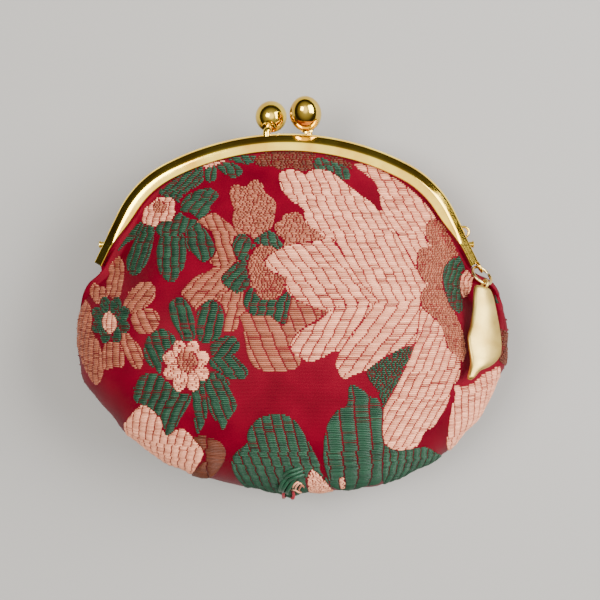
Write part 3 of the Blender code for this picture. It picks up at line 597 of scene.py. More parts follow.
# the flowers, from the lowest to the topmost petal: floss colour, how far the binding rows lean from
# upright in degrees (positive from upper left to lower right, free for short scattered floats), the
# distance between the binding rows in millimetres, and the outline on the chart. A rosette has the
# place of its middle and its half width and half height instead.
FLOWERS = {
    "the strip under the frame": """
    brown free 1.1 255,165 258,155 275,152 300,151 314,153 316,160 313,168 303,171 290,168 278,170 272,166
    brown free 1.1 325,155 345,160 353,166 350,170 342,165 330,161
    green 20 1.8 313,160 322,158 330,161 345,166 350,172 350,178 345,180 335,176 326,170 315,169
    """,
    "the green flower at the upper left": """
    green -17 2.0 126,260 130,250 134,241 141,228 150,225 155,229 154,238 151,252 147,263 140,273 133,275
        128,272
    green -2 2.0 156,253 158,242 161,235 171,235 183,235 186,242 186,260 181,273 175,281 169,282 163,278
        158,270
    green 15 2.0 185,235 185,229 196,222 204,228 211,238 215,248 212,257 204,262 199,260 192,253 186,248
    green -40 2.0 180,211 181,203 185,197 195,191 207,188 214,190 219,195 216,200 210,207 211,211 205,216
        198,219 190,213
    green -45 1.2 158,192 167,184 181,174 197,168 202,166 204,179 200,184 191,190 184,195 179,203 176,201
        171,198 165,197
    green -20 1.9 155,227 161,222 175,215 181,213 188,218 197,220 192,227 183,233 175,236 161,236 156,232
    green -35 1.9 123,241 135,226 142,222 143,228 135,238 125,245 116,253
    green 25 1.9 216,166 227,162 239,166 243,172 239,176 232,178 224,174
    green -5 1.9 205,169 216,167 216,179 211,182 205,180
    green 35 1.9 228,159 241,156 253,155 257,157 256,162 248,164 238,163
    pink 20 1.6 202,166 208,163 217,161 225,160 224,162 216,165 207,168
    brown free 1.1 255,164 258,155 270,153 270,165
    pink -12 1.7 142,222 143,213 145,208 154,201 158,197 165,198 172,198 175,203 174,209 176,214 171,221
        165,221 160,222 155,227 149,225
    copper free 0.9 159,200 165,204 166,208 162,213 156,213 153,208 154,203
    """,
    "the copper flower in the upper middle": """
    copper free 1.1 229,194 231,186 237,185 246,186 251,181 257,180 263,185 265,192 274,200 276,207
        273,225 268,230 257,240 246,234 235,229 232,221 233,209 231,203
    copper 19 1.8 197,221 212,213 217,214 231,225 239,229 245,235 235,236 233,242 234,255 239,261 231,268
        218,268 209,262 215,253 214,240 211,233 202,225
    copper -42 1.9 181,294 184,288 195,277 208,271 215,267 231,264 235,262 224,275 222,281 228,289 224,300
        218,301 209,300 199,306 195,311 189,302
    copper -15 1.9 217,299 232,289 243,288 243,300 247,312 240,318 236,330 222,330 225,318 222,305
    copper free 1.1 274,225 279,221 285,214 298,213 303,217 307,225 322,234 326,240 298,243 278,250
        284,242 276,234
    copper free 1.1 291,300 300,299 333,311 326,314 315,320 305,324 300,331 288,330 287,312
    copper 22 2.5 241,314 242,325 244,338 247,355 253,366 263,371 276,372 291,370 298,367 301,359 294,352
        291,346 292,340 296,334 303,328 313,322 322,315 316,306 300,299 270,300
    copper free 0.8 248,262 252,252 258,246 266,244 274,248 280,256 285,268 287,280 284,290 277,298
        266,300 256,296 250,286 247,274
    green -25 1.8 232,245 235,238 240,234 248,236 252,242 256,246 250,251 249,258 245,262 239,261 234,254
    green 20 1.8 253,241 260,235 268,231 276,234 279,240 283,245 278,250 273,247 262,245
    green -40 1.8 221,279 224,273 239,261 247,262 247,271 250,281 246,289 237,293 231,290 223,284
    green -15 1.8 243,301 246,292 252,288 260,298 270,300 278,298 287,292 291,298 288,312 287,320 283,325
        276,321 268,315 259,316 250,314 245,308
    """,
    "the copper flower at the left edge": """
    copper -6 1.9 82,300 92,310 92,330 100,345 104,370 97,385 88,375 80,355 77,335
    copper -4 1.9 94,278 97,285 107,289 106,301 96,303 92,298 89,290
    copper -8 1.9 106,285 108,268 114,259 120,257 124,264 124,277 122,288 120,296 112,298 107,294
    copper -38 1.9 123,305 127,294 134,287 141,282 150,282 155,287 155,297 149,305 141,310 130,314 124,312
    copper 25 1.9 131,316 141,310 154,310 160,318 158,327 149,334 138,333 132,327
    copper 18 1.9 121,333 127,331 132,338 140,347 144,359 141,368 134,368 127,359 122,348 120,340
    copper -3 1.9 105,344 121,344 124,365 112,368 104,370 102,359
    green free 2.6 rosette 110.6,320 20.5,24.5
    pink -5 1.6 109,312 113,314 116,319 117,325 114,331 110,334 106,332 103,327 102,320 105,314
    """,
    "the green flower at the lower left": """
    green 12 2.0 196,385 204,374 212,370 224,375 230,385 220,388 208,386
    green 12 1.9 168,307 172,300 181,297 188,303 193,314 196,327 194,340 183,341 178,333 171,320
    green -14 1.9 195,327 197,312 205,302 212,300 220,305 224,316 223,329 219,338 210,344 199,341
    green -38 1.9 210,344 220,338 231,335 238,340 240,348 232,355 221,357 211,355
    green 38 1.9 210,357 221,357 232,355 240,361 248,370 246,378 237,380 226,377 215,370 209,365
    green 12 2.0 192,382 205,384 212,392 208,409 206,420 198,434 194,424 192,403
    green 22 2.0 205,382 223,380 233,395 237,407 230,418 223,430 216,422 208,409 206,395
    green -22 1.9 132,394 136,381 144,374 156,373 165,379 172,386 180,392 191,395 189,405 181,418 171,437
        163,432 160,418 152,411 143,405 136,402
    green 22 1.9 144,344 149,335 160,329 170,332 176,339 173,346 166,351 162,365 160,374 154,369 146,362
        143,353
    pink free 2.8 rosette 185.9,365.8 25,27
    copper free 0.9 187,350 193,352 197,358 197,366 192,371 186,372 180,369 177,362 178,354 182,351
    """,
    "along the bottom": """
    pink -4 1.8 124,428 130,416 143,405 160,418 166,435 181,428 196,441 204,451 200,462 187,476 162,466
        139,451
    brown 8 5.0 193,437 210,437 223,445 226,456 219,470 208,478 191,476 204,460 202,449
    green 18 2.1 231,460 237,451 246,443 247,432 256,420 273,414 288,416 298,424 307,439 319,462 321,472
        332,487 310,497 282,499 265,496 250,491 235,476
    green 1 3.2 323,462 323,443 327,424 336,411 346,405 348,388 353,385 363,390 371,397 378,399 386,416
        382,422 384,437 383,460 382,481 365,486 350,490 332,487 327,476
    green free 0.9 414,344 396,351 376,363 366,372 369,380 376,391 380,399 383,411 386,403 392,393 396,386
        401,376 405,366 410,357
    green -20 1.9 384,446 395,450 408,450 425,447 440,455 446,458 438,466 415,477 395,484 383,486
    pink free 0.9 311,470 321,476 330,487 332,491 311,494 307,480
    pink free 0.9 339,478 344,478 345,487 340,488
    """,
    "the large pink flower": """
    pink 27 2.1 278,176 281,172 289,170 298,171 305,174 309,171 314,170 322,170 331,172 337,176 349,186
        361,195 372,203 380,211 383,212 400,240 415,268 417,268 423,281 429,284 423,290 420,299 421,300
        400,307 372,306 355,283 340,255 331,238 324,238 314,230 305,223 303,215 304,211 300,207 291,201
        283,193 280,186
    pink 31 2.1 353,165 360,164 375,167 395,178 415,193 428,207 436,219 429,221 426,230 427,242 432,246
        420,249 417,257 417,268 415,268 400,240 383,212 380,203 378,193 372,181 363,173
    pink 37 2.1 265,263 267,257 278,250 286,246 296,244 306,243 318,241 331,238 342,254 359,281 380,306
        345,309 333,311 322,310 305,304 292,297 285,288 285,281 286,276 279,275 268,269
    pink -27 2.1 333,309 324,316 317,322 308,326 300,331 293,338 290,347 293,354 300,357 306,361 314,361
        324,357 332,352 341,350 352,338 365,322 380,304 352,303
    pink -37 2.1 341,350 336,359 335,366 338,373 342,379 348,378 354,375 365,371 376,363 386,356 396,351
        405,346 414,344 418,328 424,306 421,298 400,301 372,304 362,320 350,336
    pink -28 1.8 421,300 430,315 438,322 443,330 446,343 450,351 456,355 460,360 460,370 459,378 453,386
        450,395 446,407 439,418 434,426 424,433 420,443 411,449 400,450 392,449 384,443 382,430 383,411
        386,403 392,393 396,386 401,376 405,366 410,357 414,344 418,328
    pink -8 1.9 454,386 453,397 450,414 448,426 446,442 449,452 456,452 463,440 475,424 486,406 496,388
        500,374 499,366 489,371 480,376 473,383 462,386
    copper free 0.8 436,219 429,221 426,230 427,242 432,246 420,249 417,257 417,268 423,281 429,284
        423,290 420,299 424,310 432,316 438,322 443,330 446,343 450,351 456,355 462,362 466,350 462,330
        455,314 451,307 447,298 443,289 442,280 443,270 450,260 456,256 466,252 455,240 446,228
    green -12 1.7 462,256 470,260 467,266 462,274 460,285 462,298 462,311 456,312 450,306 446,296 443,282
        443,270 449,261 457,257
    pink -5 1.5 473,265 477,267 474,276 469,293 464,298 460,290 460,279 465,270
    green free 1.0 494,293 500,294 503,302 499,304 495,302
    brown free 1.0 497,331 506,331 512,345 510,364 500,362 494,348
    """,
}

THREAD_PITCH = 0.42
SAMPLE = 0.12
BINDING_GAP = 0.065
SHORTEST_FLOAT = 0.3
CLOTH_EDGE = 0.985
BACK_CHART_SCALE = 0.87
KEY_STEP = 4096
ROSETTE_PETALS = 8
# a float's five stations from end to end: how far along, how far its top dips, and how much darker or
# lighter it is painted there: painted shade at the ends, where they dive in, and a slight painted highlight
# on the crown
FLOAT_THICK = 0.2
FLOAT_ALONG = np.array([0.0, 0.08, 0.5, 0.92, 1.0])
FLOAT_DIVE = np.array([-0.85, -0.1, 0.45, -0.1, -0.85])
FLOAT_PAINTED_SHADING = np.array([-0.6, 0.0, 0.08, 0.0, -0.6])
# and its section: how far across and how far up, as shares of its half width and its thickness
FLOAT_ACROSS = np.array([-1.0, -0.62, 0.0, 0.62, 1.0])
FLOAT_UP = np.array([-0.25, 0.62, 1.0, 0.62, -0.25])
THIN_SHARE = 0.13
THIN_WIDTHS = (0.5, 0.66)
PLUMP_WIDTHS = (1.04, 1.2)


def places(words):
    return np.array([word.split(",") for word in words], float)


def rosette(middle, half):
    """Petals of a round flower: ellipses from a fifth of the way out to the rim, turned evenly."""
    turn = full_turn(40)
    petal = 0.6 + 0.4 * np.cos(turn) + 0.29j * np.sin(turn)
    number = np.arange(ROSETTE_PETALS)[:, None] + 0.5
    turned = petal * np.exp(2j * math.pi * number / ROSETTE_PETALS)
    return list(middle + half * np.stack([turned.real, turned.imag], -1))


def rows_by_colour(text):
    """A table's words as one list for each row: a row starts at each floss colour."""
    rows = []
    for word in text.split():
        if word in THREADS:
            rows.append([])
        rows[-1].append(word)
    return rows


def read_petals():
    """Each petal's colour, lean, spacing and outline: a smooth closed line through its points."""
    petals = []
    for colour, lean, spacing, *line in rows_by_colour(" ".join(FLOWERS.values())):
        lean = None if lean == "free" else math.radians(float(lean))
        round_flower = line[0] == "rosette"
        outlines = rosette(*places(line[1:])) if round_flower else [smooth_line(places(line), 5)]
        petals += [(colour, lean, float(spacing), outline) for outline in outlines]
    return petals


PETALS = read_petals()


def inside(points, line):
    """Whether points lie in a closed line: an odd number of its edges pass to the right of them."""
    ahead = np.roll(line, -1, 0)
    x, y = points[:, 0, None], points[:, 1, None]
    spans = (line[:, 1] > y) != (ahead[:, 1] > y)
    rise = np.where(ahead[:, 1] == line[:, 1], 1e-9, ahead[:, 1] - line[:, 1])
    cross = line[:, 0] + (y - line[:, 1]) / rise * (ahead[:, 0] - line[:, 0])
    return (np.sum(spans & (x < cross), axis=1) % 2).astype(bool)


def float_keys(chart, p, q, on_cloth, rng):
    """Which float covers each sample of the cloth: petal number * KEY_STEP + binding row, or -1.

    The binding rows of a petal are lines at its lean, evenly spaced along the cloth: the lean is
    carried from the chart to the cloth by the straight fit p, q = A (x, y) + b over its samples.
    """
    keys = np.full(p.shape, -1)
    loose = rng.uniform(0.0, 4.0, len(p))
    ragged = np.repeat(rng.normal(0.0, 0.16, len(p) // 3 + 1), 3)[: len(p)]
    for number, (_, lean, spacing, line) in enumerate(PETALS):
        near = on_cloth & np.all((chart > line.min(0)) & (chart < line.max(0)), axis=-1)
        rows, columns = np.nonzero(near)
        hit = inside(chart[rows, columns], line)
        rows, columns = rows[hit], columns[hit]
        if len(rows) < 8:
            continue
        here = np.stack([p[rows, columns], q[rows, columns]], -1)
        if lean is None:
            wander = 0.3 * np.sin(1.7 * here[:, 0] + 9.0 * loose[rows])
            cell = here[:, 0] / spacing + loose[rows] + wander
        else:
            seen = np.column_stack([chart[rows, columns], np.ones(len(rows))])
            fit = np.linalg.lstsq(seen, here, rcond=None)[0]
            along = unit(np.array([math.sin(lean), math.cos(lean)]) @ fit[:2])
            cell = (here[:, 0] * along[1] - here[:, 1] * along[0] + ragged[rows]) / spacing
        keys[rows, columns] = number * KEY_STEP + KEY_STEP // 2 + np.floor(cell).astype(int)
    return keys


def float_spans(cloth, rng):
    """Where the floats of one half lie: the runs of samples with one key. Returns each float's q,
    its two ends along p and the number of its petal."""
    reach = cloth.rim.max()
    lines = int(reach / THREAD_PITCH)
    q_lines = (np.arange(-lines, lines) + 0.5) * THREAD_PITCH
    p, q = np.meshgrid(np.arange(-reach, reach, SAMPLE), q_lines)
    point, _, share = cloth.at(p, q)
    if cloth.up > 0:
        chart = on_chart(point)
    else:
        chart = np.stack([p, q], -1) / CHART_UNIT * BACK_CHART_SCALE + CHART_MIDDLE
    keys = float_keys(chart, p, q, share < CLOTH_EDGE, rng)
    keys = np.pad(keys, ((0, 0), (0, 1)), constant_values=-1)
    start = np.flatnonzero(np.diff(keys.ravel(), prepend=-2))
    end = np.append(start[1:], keys.size)
    petal = keys.ravel()[start] // KEY_STEP
    line, first = np.divmod(start, keys.shape[1])
    low = first * SAMPLE - reach + BINDING_GAP
    high = (first + end - start) * SAMPLE - reach - BINDING_GAP
    kept = (petal >= 0) & (high - low > SHORTEST_FLOAT)
    return q_lines[line][kept], low[kept], high[kept], petal[kept]


def add_floats(cloth, side, rng):
    """The raised floss: each float is a low dome of thread laid along p, its ends dipping in.

    The section at each of its five stations is a flattened arch, as wide as the thread pitch
    measured on the cloth, so floats close up where the cloth is gathered.
    """
    q, low, high, petal = float_spans(cloth, rng)
    count = len(petal)
    at_p = low[:, None] + (high - low)[:, None] * FLOAT_ALONG
    at_q = q[:, None] + 0.0 * at_p
    centre, normal, _ = cloth.at(at_p, at_q)
    across = (cloth.at(at_p, at_q + 0.2)[0] - cloth.at(at_p, at_q - 0.2)[0]) / 0.4
    thin = rng.random(count) < THIN_SHARE
    width = np.where(thin, rng.uniform(*THIN_WIDTHS, count), rng.uniform(*PLUMP_WIDTHS, count))
    half_width = 0.5 * THREAD_PITCH * width[:, None, None, None]
    high_up = FLOAT_THICK * (FLOAT_UP + FLOAT_DIVE[:, None])
    points = centre[:, :, None] + normal[:, :, None] * high_up[..., None]
    points = points + across[:, :, None] * half_width * FLOAT_ACROSS[:, None]
    tone_and_painted_shading = np.clip(rng.normal(0.6, 0.17, count), 0.1, 1.0)[:, None, None]
    # painted shading: each float's random tone is painted darker at its ends, where they dive under the
    # binding rows, and a little lighter on its crown
    tone_and_painted_shading = tone_and_painted_shading + FLOAT_PAINTED_SHADING[:, None] + 0.0 * FLOAT_ACROSS
    over = rng.uniform(0, 50, (count, 1, 1)) + FLOAT_ACROSS / 9
    uv = np.stack(np.broadcast_arrays(at_p[:, :, None], over), -1)
    colours = np.array([colour for colour, *_ in PETALS])[petal]
    made = []
    for colour in ("pink", "copper", "brown", "green"):
        mine = np.flatnonzero(colours == colour)
        _, one = closed_loft(points[mine[0]])
        step = FLOAT_ALONG.size * FLOAT_ACROSS.size * np.arange(len(mine))[:, None, None]
        faces = [(group + step).reshape(-1, group.shape[1]) for group in one]
        part = points[mine].reshape(-1, 3), faces
        name = f"{side}_{colour}_floats"
        look = THREADS[colour]
        made.append(make_piece(name, part, look, None, uv[mine], tone_and_painted_shading[mine], 0.0))
    return made


# the frame

HALF_DEPTH = 3.5
SHEET = 0.6
ROLL_RADIUS = 1.6
HALF_FACE = 3.6
LEG_FACE = 1.99
LIP = 3.2
LEG_LIP = 0.65
EDGE_ROUND = 0.22
SEAM_GAP = 0.3
BACK_PROUD = 0.4
# the rolled edge: inwards from the wall, down from the face, and down at the end of a leg
ROLL_IN, ROLL_DOWN, LEG_ROLL_DOWN = np.array([
    (0.0, 1.6, 1.75), (0.0, 1.28, 1.5), (0.03, 1.12, 1.33), (0.1, 0.98, 1.2), (0.22, 0.87, 1.09),
    (0.4, 0.755, 0.98), (0.7, 0.57, 0.795), (1.0, 0.385, 0.61), (1.25, 0.23, 0.455),
    (1.38, 0.155, 0.375), (1.48, 0.1, 0.315), (1.58, 0.05, 0.25), (1.66, 0.02, 0.2), (1.74, 0.0, 0.15),
]).T


def half_section(along):
    """The channel's outline at these distances, as arrays of distances inwards and up from the
    seam: a wall, a rolled edge, a face with a rounded rim, and back inside to a lip turned in."""
    on_leg = np.abs(along)[:, None] - LEG_START
    face = mix(HALF_FACE, LEG_FACE, ease(on_leg, -2.0, 9.0))
    lip = mix(LIP, LEG_LIP, ease(on_leg, -3.0, 1.5))
    down = mix(ROLL_DOWN, LEG_ROLL_DOWN, ease(on_leg, 2.5, 8.0))
    base, middle, inner = SEAM_GAP / 2, HALF_DEPTH - ROLL_RADIUS, ROLL_RADIUS - SHEET
    rim = np.linspace(math.pi / 2, 0.0, 5)
    bend = np.linspace(math.pi / 2, math.pi, 7)
    outline = [
        (0.06, base),
        (0.0, base + 0.06),
        (ROLL_IN, HALF_DEPTH - down),
        (face - EDGE_ROUND * (1 - np.cos(rim)), HALF_DEPTH - EDGE_ROUND * (1 - np.sin(rim))),
        (face, HALF_DEPTH - SHEET),
        (ROLL_RADIUS + inner * np.cos(bend), middle + inner * np.sin(bend)),
        (SHEET, base + SHEET),
        (lip, base + SHEET),
        (lip, base),
    ]
    return np.concatenate([np.broadcast_arrays(*pair, face)[:2] for pair in outline], axis=2)


def half_channel(up, proud, leg):
    """The sheet-metal channel of one half, its section carried along the arch."""
    along = np.linspace(-LEG_START - leg, LEG_START + leg, 241)
    inset, height = half_section(along)
    x, y = arch(along[:, None], inset - proud)
    return closed_loft(np.stack([x, y, SEAM + up * height], -1))


def on_the_leg(side, on_leg, inset, height):
    """Points on a leg, from distances along it, inwards from its wall and above the seam."""
    x, y = arch(side * (LEG_START + on_leg), inset)
    return np.stack(np.broadcast_arrays(x, y, SEAM + height), -1)


HINGE_ALONG_LEG = 8.0
PLATE_RADIUS = 1.7
PLATE_EDGE = 0.1
BAR_CLIP = 0.12
WIRE = 0.33
LOOP_WIRE = 0.28
EYE_ALONG_LEG = 13.3
EYE_RADIUS = 1.2
EYE_HEIGHT = 1.9


def leg_plate(side, insets):
    """A round plate about the hinge: a disc with softened edges through its thickness."""
    a, b = insets
    inset = np.array([a, a, a + PLATE_EDGE, b - PLATE_EDGE, b, b])[:, None]
    reach = PLATE_RADIUS * np.array([0.05, 0.94, 1.0, 1.0, 0.94, 0.05])[:, None]
    turn = full_turn(40)
    on_leg = HINGE_ALONG_LEG + reach * np.cos(turn)
    return closed_loft(on_the_leg(side, on_leg, inset, reach * np.sin(turn)))


def leg_bar(side, insets, along, heights):
    """A flat bar along a leg, its rectangle clipped at the corners."""
    (a, b), (low, high), clip = insets, heights, BAR_CLIP
    inset = np.array([a + clip, b - clip, b, b, b - clip, a + clip, a, a])
    height = np.array([low, low, low + clip, high - clip, high, high, high - clip, low + clip])
    return closed_loft(on_the_leg(side, np.linspace(*along, 5)[:, None], inset, height))


POST_RADIUS = 0.85
BALL_RADIUS = 3.5
# for each side: the ball's middle, measured from the seam, its half length, the foot of its post
BALLS = {-1: ((-3.4, 47.3, -2.4), 3.55, -4.3), 1: ((4.2, 47.6, 2.6), 4.2, 4.9)}
# the collar between post and ball: distances behind the ball's end, and radii there
COLLAR_BEHIND = np.array([0.75, 0.7, 0.5, 0.3, 0.12])
COLLAR_RADII = np.array([0.9, 1.42, 1.46, 1.2, 1.05])


def post_line(side, up):
    """The bent line of a ball's post, out of its own half frame and over to the other side."""
    ball_place, _, foot_x = BALLS[side]
    foot = (foot_x, ARCH_TOP_Y - 0.5, up * 1.8)
    bend = (foot_x, ARCH_TOP_Y + 0.7, up * 1.75)
    knee = (mix(foot_x, ball_place[0], 0.35), ARCH_TOP_Y + 1.3, up * 1.2)
    return np.array([foot, bend, knee, ball_place]) + [0.0, 0.0, SEAM]


def post(side, up):
    """The post as a round bar through its line, which ends inside the collar."""
    line = post_line(side, up)
    line[3] = mix(line[3], line[2], 0.35)
    return tube(rounded(line, 22), POST_RADIUS)


def ball(side, up):
    """An egg-shaped ball on a flared collar: circles of radius R sin(t) up its long axis."""
    line = post_line(side, up)
    half = BALLS[side][1]
    turn = np.linspace(math.radians(163.0), math.radians(0.6), 44)
    far = np.concatenate([-half - COLLAR_BEHIND, half * np.cos(turn)])
    egg = BALL_RADIUS * np.sin(turn) * (1 - 0.04 * np.cos(turn))
    path = line[3] + far[:, None] * unit(line[3] - line[2])
    return tube(path, np.concatenate([COLLAR_RADII, egg]), sides=56)


def rivet(side):
    """A pin through the hinge with a low round head outside: radii along the hinge line."""
    x, y = arch(side * (LEG_START + HINGE_ALONG_LEG))
    far = np.array([-2.35, -2.3, 0.74, 0.75, 0.8, 0.95, 1.08, 1.16, 1.2])
    reach = np.array([0.5, 0.6, 0.6, 0.8, 0.85, 0.84, 0.72, 0.45, 0.05])
    path = np.stack(np.broadcast_arrays(x + side * far, y, SEAM), -1)
    return tube(path, reach, sides=32)


def side_loop():
    """A half ring of wire standing out of the right-hand leg."""
    turn = np.linspace(0.0, math.pi, 26)
    path = on_the_leg(1, 4.9 + 1.25 * np.cos(turn), 0.3 - 1.45 * np.sin(turn), 1.6)
    return tube(path, LOOP_WIRE, sides=14)


def end_eye():
    """The wire eye at the end of the right-hand leg, in line with its wall."""
    turn = full_turn(40)
    on_leg = EYE_ALONG_LEG + EYE_RADIUS * np.cos(turn)
    path = on_the_leg(1, on_leg, SHEET / 2, EYE_HEIGHT + EYE_RADIUS * np.sin(turn))
    return tube(path, WIRE, sides=14, endless=True)


def add_frame():
    """Both half frames with their hinge plates and posts, the rivets and the two balls."""
    front_parts = [half_channel(1, 0.0, FRONT_LEG), side_loop(), end_eye(), post(-1, 1)]
    back_parts = [half_channel(-1, BACK_PROUD, BACK_LEG), post(1, -1)]
    for side, word in ((-1, "left"), (1, "right")):
        front_parts.append(leg_plate(side, (0.02, 0.58)))
        back_parts.append(leg_plate(side, (0.9, 1.6)))
        back_parts.append(leg_bar(side, (0.94, 1.56), (2.8, HINGE_ALONG_LEG), (-3.2, 0.9)))
        back_parts.append(leg_bar(side, (0.0, 1.36), (3.2, 5.2), (-3.05, -0.6)))
        make_piece(f"hinge_pin_{word}", rivet(side), GOLD, f"hinge_rivet_{word}")
        make_piece(f"snap_ball_{word}", ball(side, -side), GOLD, f"clasp_ball_{word}")
    make_piece("front_half_frame", joined(*front_parts), GOLD, "frame_front")
    make_piece("back_half_frame", joined(*back_parts), GOLD, "frame_back")


# the ring and the charm

CHARM_ROLL = math.radians(27.0)
RING_ROLL = math.radians(38.0)
RING_RADIUS = 2.43
# the ring's wire runs from one of these turns to the other, which leaves a slit
RING_TURNS = np.radians([128.0, 480.0])
CHARM_EDGE = 0.8
CHARM_DOME = 0.7
CHARM_EYE_DOWN = -0.55
CHARM_EYE_RADIUS = 0.95
# down the charm: its left and right edges
CHARM_DOWN, CHARM_LEFT, CHARM_RIGHT = np.array([
    (0.0, -2.4, 0.8), (0.5, -2.6, 1.5), (2.3, -2.75, 2.5), (5.3, -2.75, 3.45), (9.1, -3.2, 4.55),
    (12.0, -3.75, 5.1), (14.3, -3.4, 5.0), (16.1, -2.9, 3.9), (17.7, -2.7, 2.0), (18.8, -2.8, 0.0),
    (20.3, -3.1, -1.3), (21.2, -3.1, -2.0),
]).T


def charm_axes():
    """The charm's own axes: across it, up its length, and out of its face."""
    length = unit(CHARM_TOP - CHARM_TIP)
    level = unit(np.cross(length, [0.0, 0.0, 1.0]))
    face = np.cross(level, length)
    across = level * math.cos(CHARM_ROLL) - face * math.sin(CHARM_ROLL)
    return np.array([across, -length, np.cross(across, length)])


def on_charm(across, down, out):
    """Points of the charm, from distances across it, down it and out of its back."""
    parts = np.stack(np.broadcast_arrays(across, down, out), -1)
    return CHARM_TOP + [0.0, 0.0, SEAM] + parts @ charm_axes()


def charm():
    """A cast charm with a domed face: rows across it, each a flat back and a face that rises
    from rounded edges as 1 - s^2, s running from -1 at its left edge to 1 at its right."""
    down = np.linspace(0.0, CHARM_DOWN[-1], 70)[:, None]
    left = hermite(down, CHARM_DOWN, CHARM_LEFT)
    right = hermite(down, CHARM_DOWN, CHARM_RIGHT)
    half, middle = (right - left) / 2, (right + left) / 2
    s = np.sin(np.linspace(-math.pi / 2, math.pi / 2, 21))
    round_end = np.clip(np.minimum(down, down[-1] - down) / 0.5, 0.0, 1.0) ** 0.5
    half_here = half * mix(0.8, 1.0, round_end)
    crown = CHARM_DOME * np.minimum(half / 3.0, 1.0)
    rim = CHARM_EDGE * (0.55 + 0.45 * np.minimum((1 - np.abs(s)) * half / 0.25, 1.0) ** 0.5)
    face = on_charm(middle + half_here * s, down, (rim + crown * (1 - s**2)) * mix(0.5, 1.0, round_end))
    back = on_charm(middle - half_here * s * 0.97, down, 0.1 * s**8)
    body = closed_loft(np.concatenate([face, back], 1))
    turn = full_turn(36)
    eye_down = CHARM_EYE_DOWN - CHARM_EYE_RADIUS * np.cos(turn)
    eye = on_charm(0.0, eye_down, CHARM_EDGE / 2 + CHARM_EYE_RADIUS * np.sin(turn))
    return joined(body, tube(eye, WIRE, sides=14, endless=True))


def jump_ring():
    """An open ring of wire through the frame's eye and the charm's eye."""
    start = on_the_leg(1, EYE_ALONG_LEG, SHEET / 2, EYE_HEIGHT)
    end = on_charm(0.0, CHARM_EYE_DOWN, CHARM_EDGE / 2)
    line = unit(end - start)
    level = unit(np.array([-line[1], line[0], 0.0]))
    over = np.cross(line, level)
    over = over * np.sign(over[2])
    level = level * np.sign(level[0])
    face = over * math.cos(RING_ROLL) + level * math.sin(RING_ROLL)
    wide = np.cross(face, line)
    turn = np.linspace(*RING_TURNS, 70)[:, None]
    path = (start + end) / 2 + RING_RADIUS * (np.cos(turn) * line + np.sin(turn) * wide)
    return tube(path, WIRE, sides=16)


def add_charm():
    make_piece("open_jump_ring", jump_ring(), PALE_GOLD, "jump_ring")
    make_piece("leaf_charm", charm(), BRASS, "charm")


# the bag's small pieces

# the fold beside a leg, seen along it: distances inwards from the wall and up from the seam
GUSSET = np.array([
    (3.3, 2.2), (2.5, 2.62), (1.4, 2.62), (0.9, 2.45), (0.9, 2.0), (1.75, 1.75), (1.85, 0.5),
    (1.85, -2.9), (2.0, -3.6), (2.6, -3.9), (3.6, -3.4),
])
GUSSET_THICK = 0.5
GUSSET_LEG = (-1.0, 13.8)
GUSSET_TUCK = 1.3
STITCH_RADIUS = 0.13
STITCH_BULGE = 0.32
STITCH_SPACING = 10
PINCH_RISE = np.array([-0.6, 1.2, 1.6, -0.6])
# the twist at the bottom: floss colour, half thickness in millimetres, the line on the chart
PINCH_THREADS = """
    green 0.42 285,480 288,474 295,471 303,471
    green 0.42 287,483 291,477 298,474 305,475
    green 0.4 283,477 288,470 296,467 302,468
    green 0.42 292,478 286,482 283,487 284,493
    green 0.42 296,479 290,484 287,489 288,494
    green 0.4 289,476 282,481 280,487 281,491
    pink 0.2 294,493 293,486 297,481 300,484
    pink 0.2 297,494 296,487 300,482 303,486
    copper 0.22 300,495 299,488 302,484 305,489
    pink 0.2 291,490 295,489 299,491 304,493
    crimson 0.35 285,489 284,493 284,496 285,497
    crimson 0.35 293,490 293,494 292,496 291,497
"""


def hinge_gussets():
    """The cloth between the halves beside each leg: a fold carried along it, up under the face,
    down clear of the hinge plates and back inwards below."""
    inner = GUSSET[::-1] * [1.0, 0.86] + [GUSSET_THICK, 0.0]
    inset, height = np.concatenate([GUSSET, inner]).T
    on_leg = np.linspace(*GUSSET_LEG, 36)[:, None]
    close = 1.0 - 0.35 * ease(on_leg, 6.0, 12.0) - 0.3 * ease(on_leg, 11.5, 14.2)
    tucked = GUSSET_TUCK * ease(on_leg, 11.2, 13.8)
    folds = [on_the_leg(side, on_leg, inset + tucked, height * close) for side in (-1, 1)]
    return joined(*(closed_loft(fold) for fold in folds))


def add_seam_stitches(front, back):
    """Short stitches across the groove of the side seam: half rings of thread from front to back."""
    stitched = np.flatnonzero(off_top(front.degrees) > 86.0)[::STITCH_SPACING]
    low = int(REACHES * 0.975)
    start, end = front.table[stitched, low][:, None], back.table[stitched, low][:, None]
    out = unit(front.table[stitched, -1] - [0.0, 0.0, SEAM])[:, None]
    share = np.linspace(0.0, 1.0, 7)[:, None]
    path = mix(start, end, share) + STITCH_BULGE * out * np.sin(math.pi * share)
    parts = [tube(line, STITCH_RADIUS, sides=6) for line in path]
    return make_piece("side_seam_stitches", joined(*parts), THREADS["crimson"])


def add_pinch(cloth):
    """The twisted floss where the bottom is drawn in: bars through four places of the cloth each,
    the nearest to places of the chart, that rise between their ends."""
    near = slice(int(ANGLES * 0.68), int(ANGLES * 0.82)), slice(REACHES // 2, REACHES)
    points, normals = cloth.table[near].reshape(-1, 3), cloth.normal[near].reshape(-1, 3)
    seen = on_chart(points)
    bars = {}
    for colour, radius, *line in rows_by_colour(PINCH_THREADS):
        radius = float(radius)
        nearest = np.argmin(((seen - places(line)[:, None]) ** 2).sum(-1), axis=1)
        line = points[nearest] + normals[nearest] * radius * PINCH_RISE[:, None]
        bars.setdefault(colour, []).append(tube(rounded(line, 18), radius, sides=10))
    made = []
    for colour, parts in bars.items():
        part = joined(*parts)
        uv, tone_and_painted_shading = 3.0 * part[0][:, :2], np.full(len(part[0]), 0.9)
        name = f"pinch_{colour}_threads"
        made.append(make_piece(name, part, THREADS[colour], None, uv, tone_and_painted_shading))
    return made


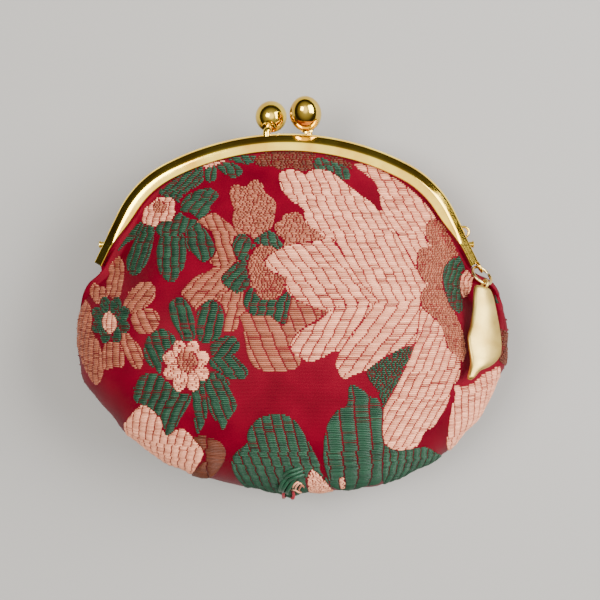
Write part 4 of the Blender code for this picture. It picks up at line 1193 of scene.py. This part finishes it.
def add_bag():
    front, back = Cloth(1), Cloth(-1)
    front_cloth = cloth_piece("front_cloth", front, "front_panel")
    back_cloth = cloth_piece("back_cloth", back, "back_panel")
    front_floats = add_floats(front, "front", RNG) + add_pinch(front)
    back_floats = add_floats(back, "back", RNG)
    gussets = hinge_gussets()
    make_piece("hinge_gussets", gussets, SATIN, uv=gussets[0][:, 1:])
    add_seam_stitches(front, back)


# the floor and the lights

FLOOR_HALF = 3.0
SKY_STRENGTH = 0.55
# the sky's light from below to overhead: heights on the ramp, and linear colours
SKY = [
    (0.35, (0.06, 0.055, 0.05, 1.0)),
    (0.88, (1.05, 1.02, 0.98, 1.0)),
    (0.975, (4.6, 4.45, 4.1, 1.0)),
]


def add_floor():
    corners = [(-1, -1), (1, -1), (1, 1), (-1, 1)]
    mesh = bpy.data.meshes.new("floor")
    mesh.from_pydata([(FLOOR_HALF * x, FLOOR_HALF * y, 0.0) for x, y in corners], [], [(0, 1, 2, 3)])
    look = Look("pale_floor")
    look.set("Base Color", (0.36, 0.345, 0.325, 1.0))
    look.set("Roughness", 0.8)
    mesh.materials.append(look.material)
    add_object("floor", mesh)


def add_light(name, place, size, power):
    """A rectangular lamp at a place in metres, turned towards the purse."""
    data = bpy.data.lights.new(name, "AREA")
    data.shape = "RECTANGLE"
    data.size, data.size_y = size
    data.energy = power
    made = add_object(name, data)
    made.location = place
    made.rotation_euler = (-Vector(place)).to_track_quat("-Z", "Y").to_euler()


def add_world():
    """Soft studio light: bright overhead, dim towards the horizon and below."""
    world = bpy.data.worlds.new("studio")
    world.use_nodes = True
    nodes, links = world.node_tree.nodes, world.node_tree.links
    split = nodes.new("ShaderNodeSeparateXYZ")
    links.new(nodes.new("ShaderNodeTexCoord").outputs["Generated"], split.inputs[0])
    ramp = nodes.new("ShaderNodeValToRGB")
    links.new(split.outputs["Z"], ramp.inputs["Fac"])
    stops = ramp.color_ramp.elements
    stops.new(SKY[-1][0])
    for stop, (height, colour) in zip(stops, SKY):
        stop.position = height
        stop.color = colour
    links.new(ramp.outputs["Color"], nodes["Background"].inputs["Color"])
    nodes["Background"].inputs["Strength"].default_value = SKY_STRENGTH
    bpy.context.scene.world = world


add_camera()
add_frame()
add_charm()
add_bag()
add_floor()
add_light("key", (0.46, 0.12, 0.42), (0.5, 0.4), 9.0)
add_light("top", (-0.35, 0.12, 0.8), (0.35, 0.35), 8.0)
add_world()
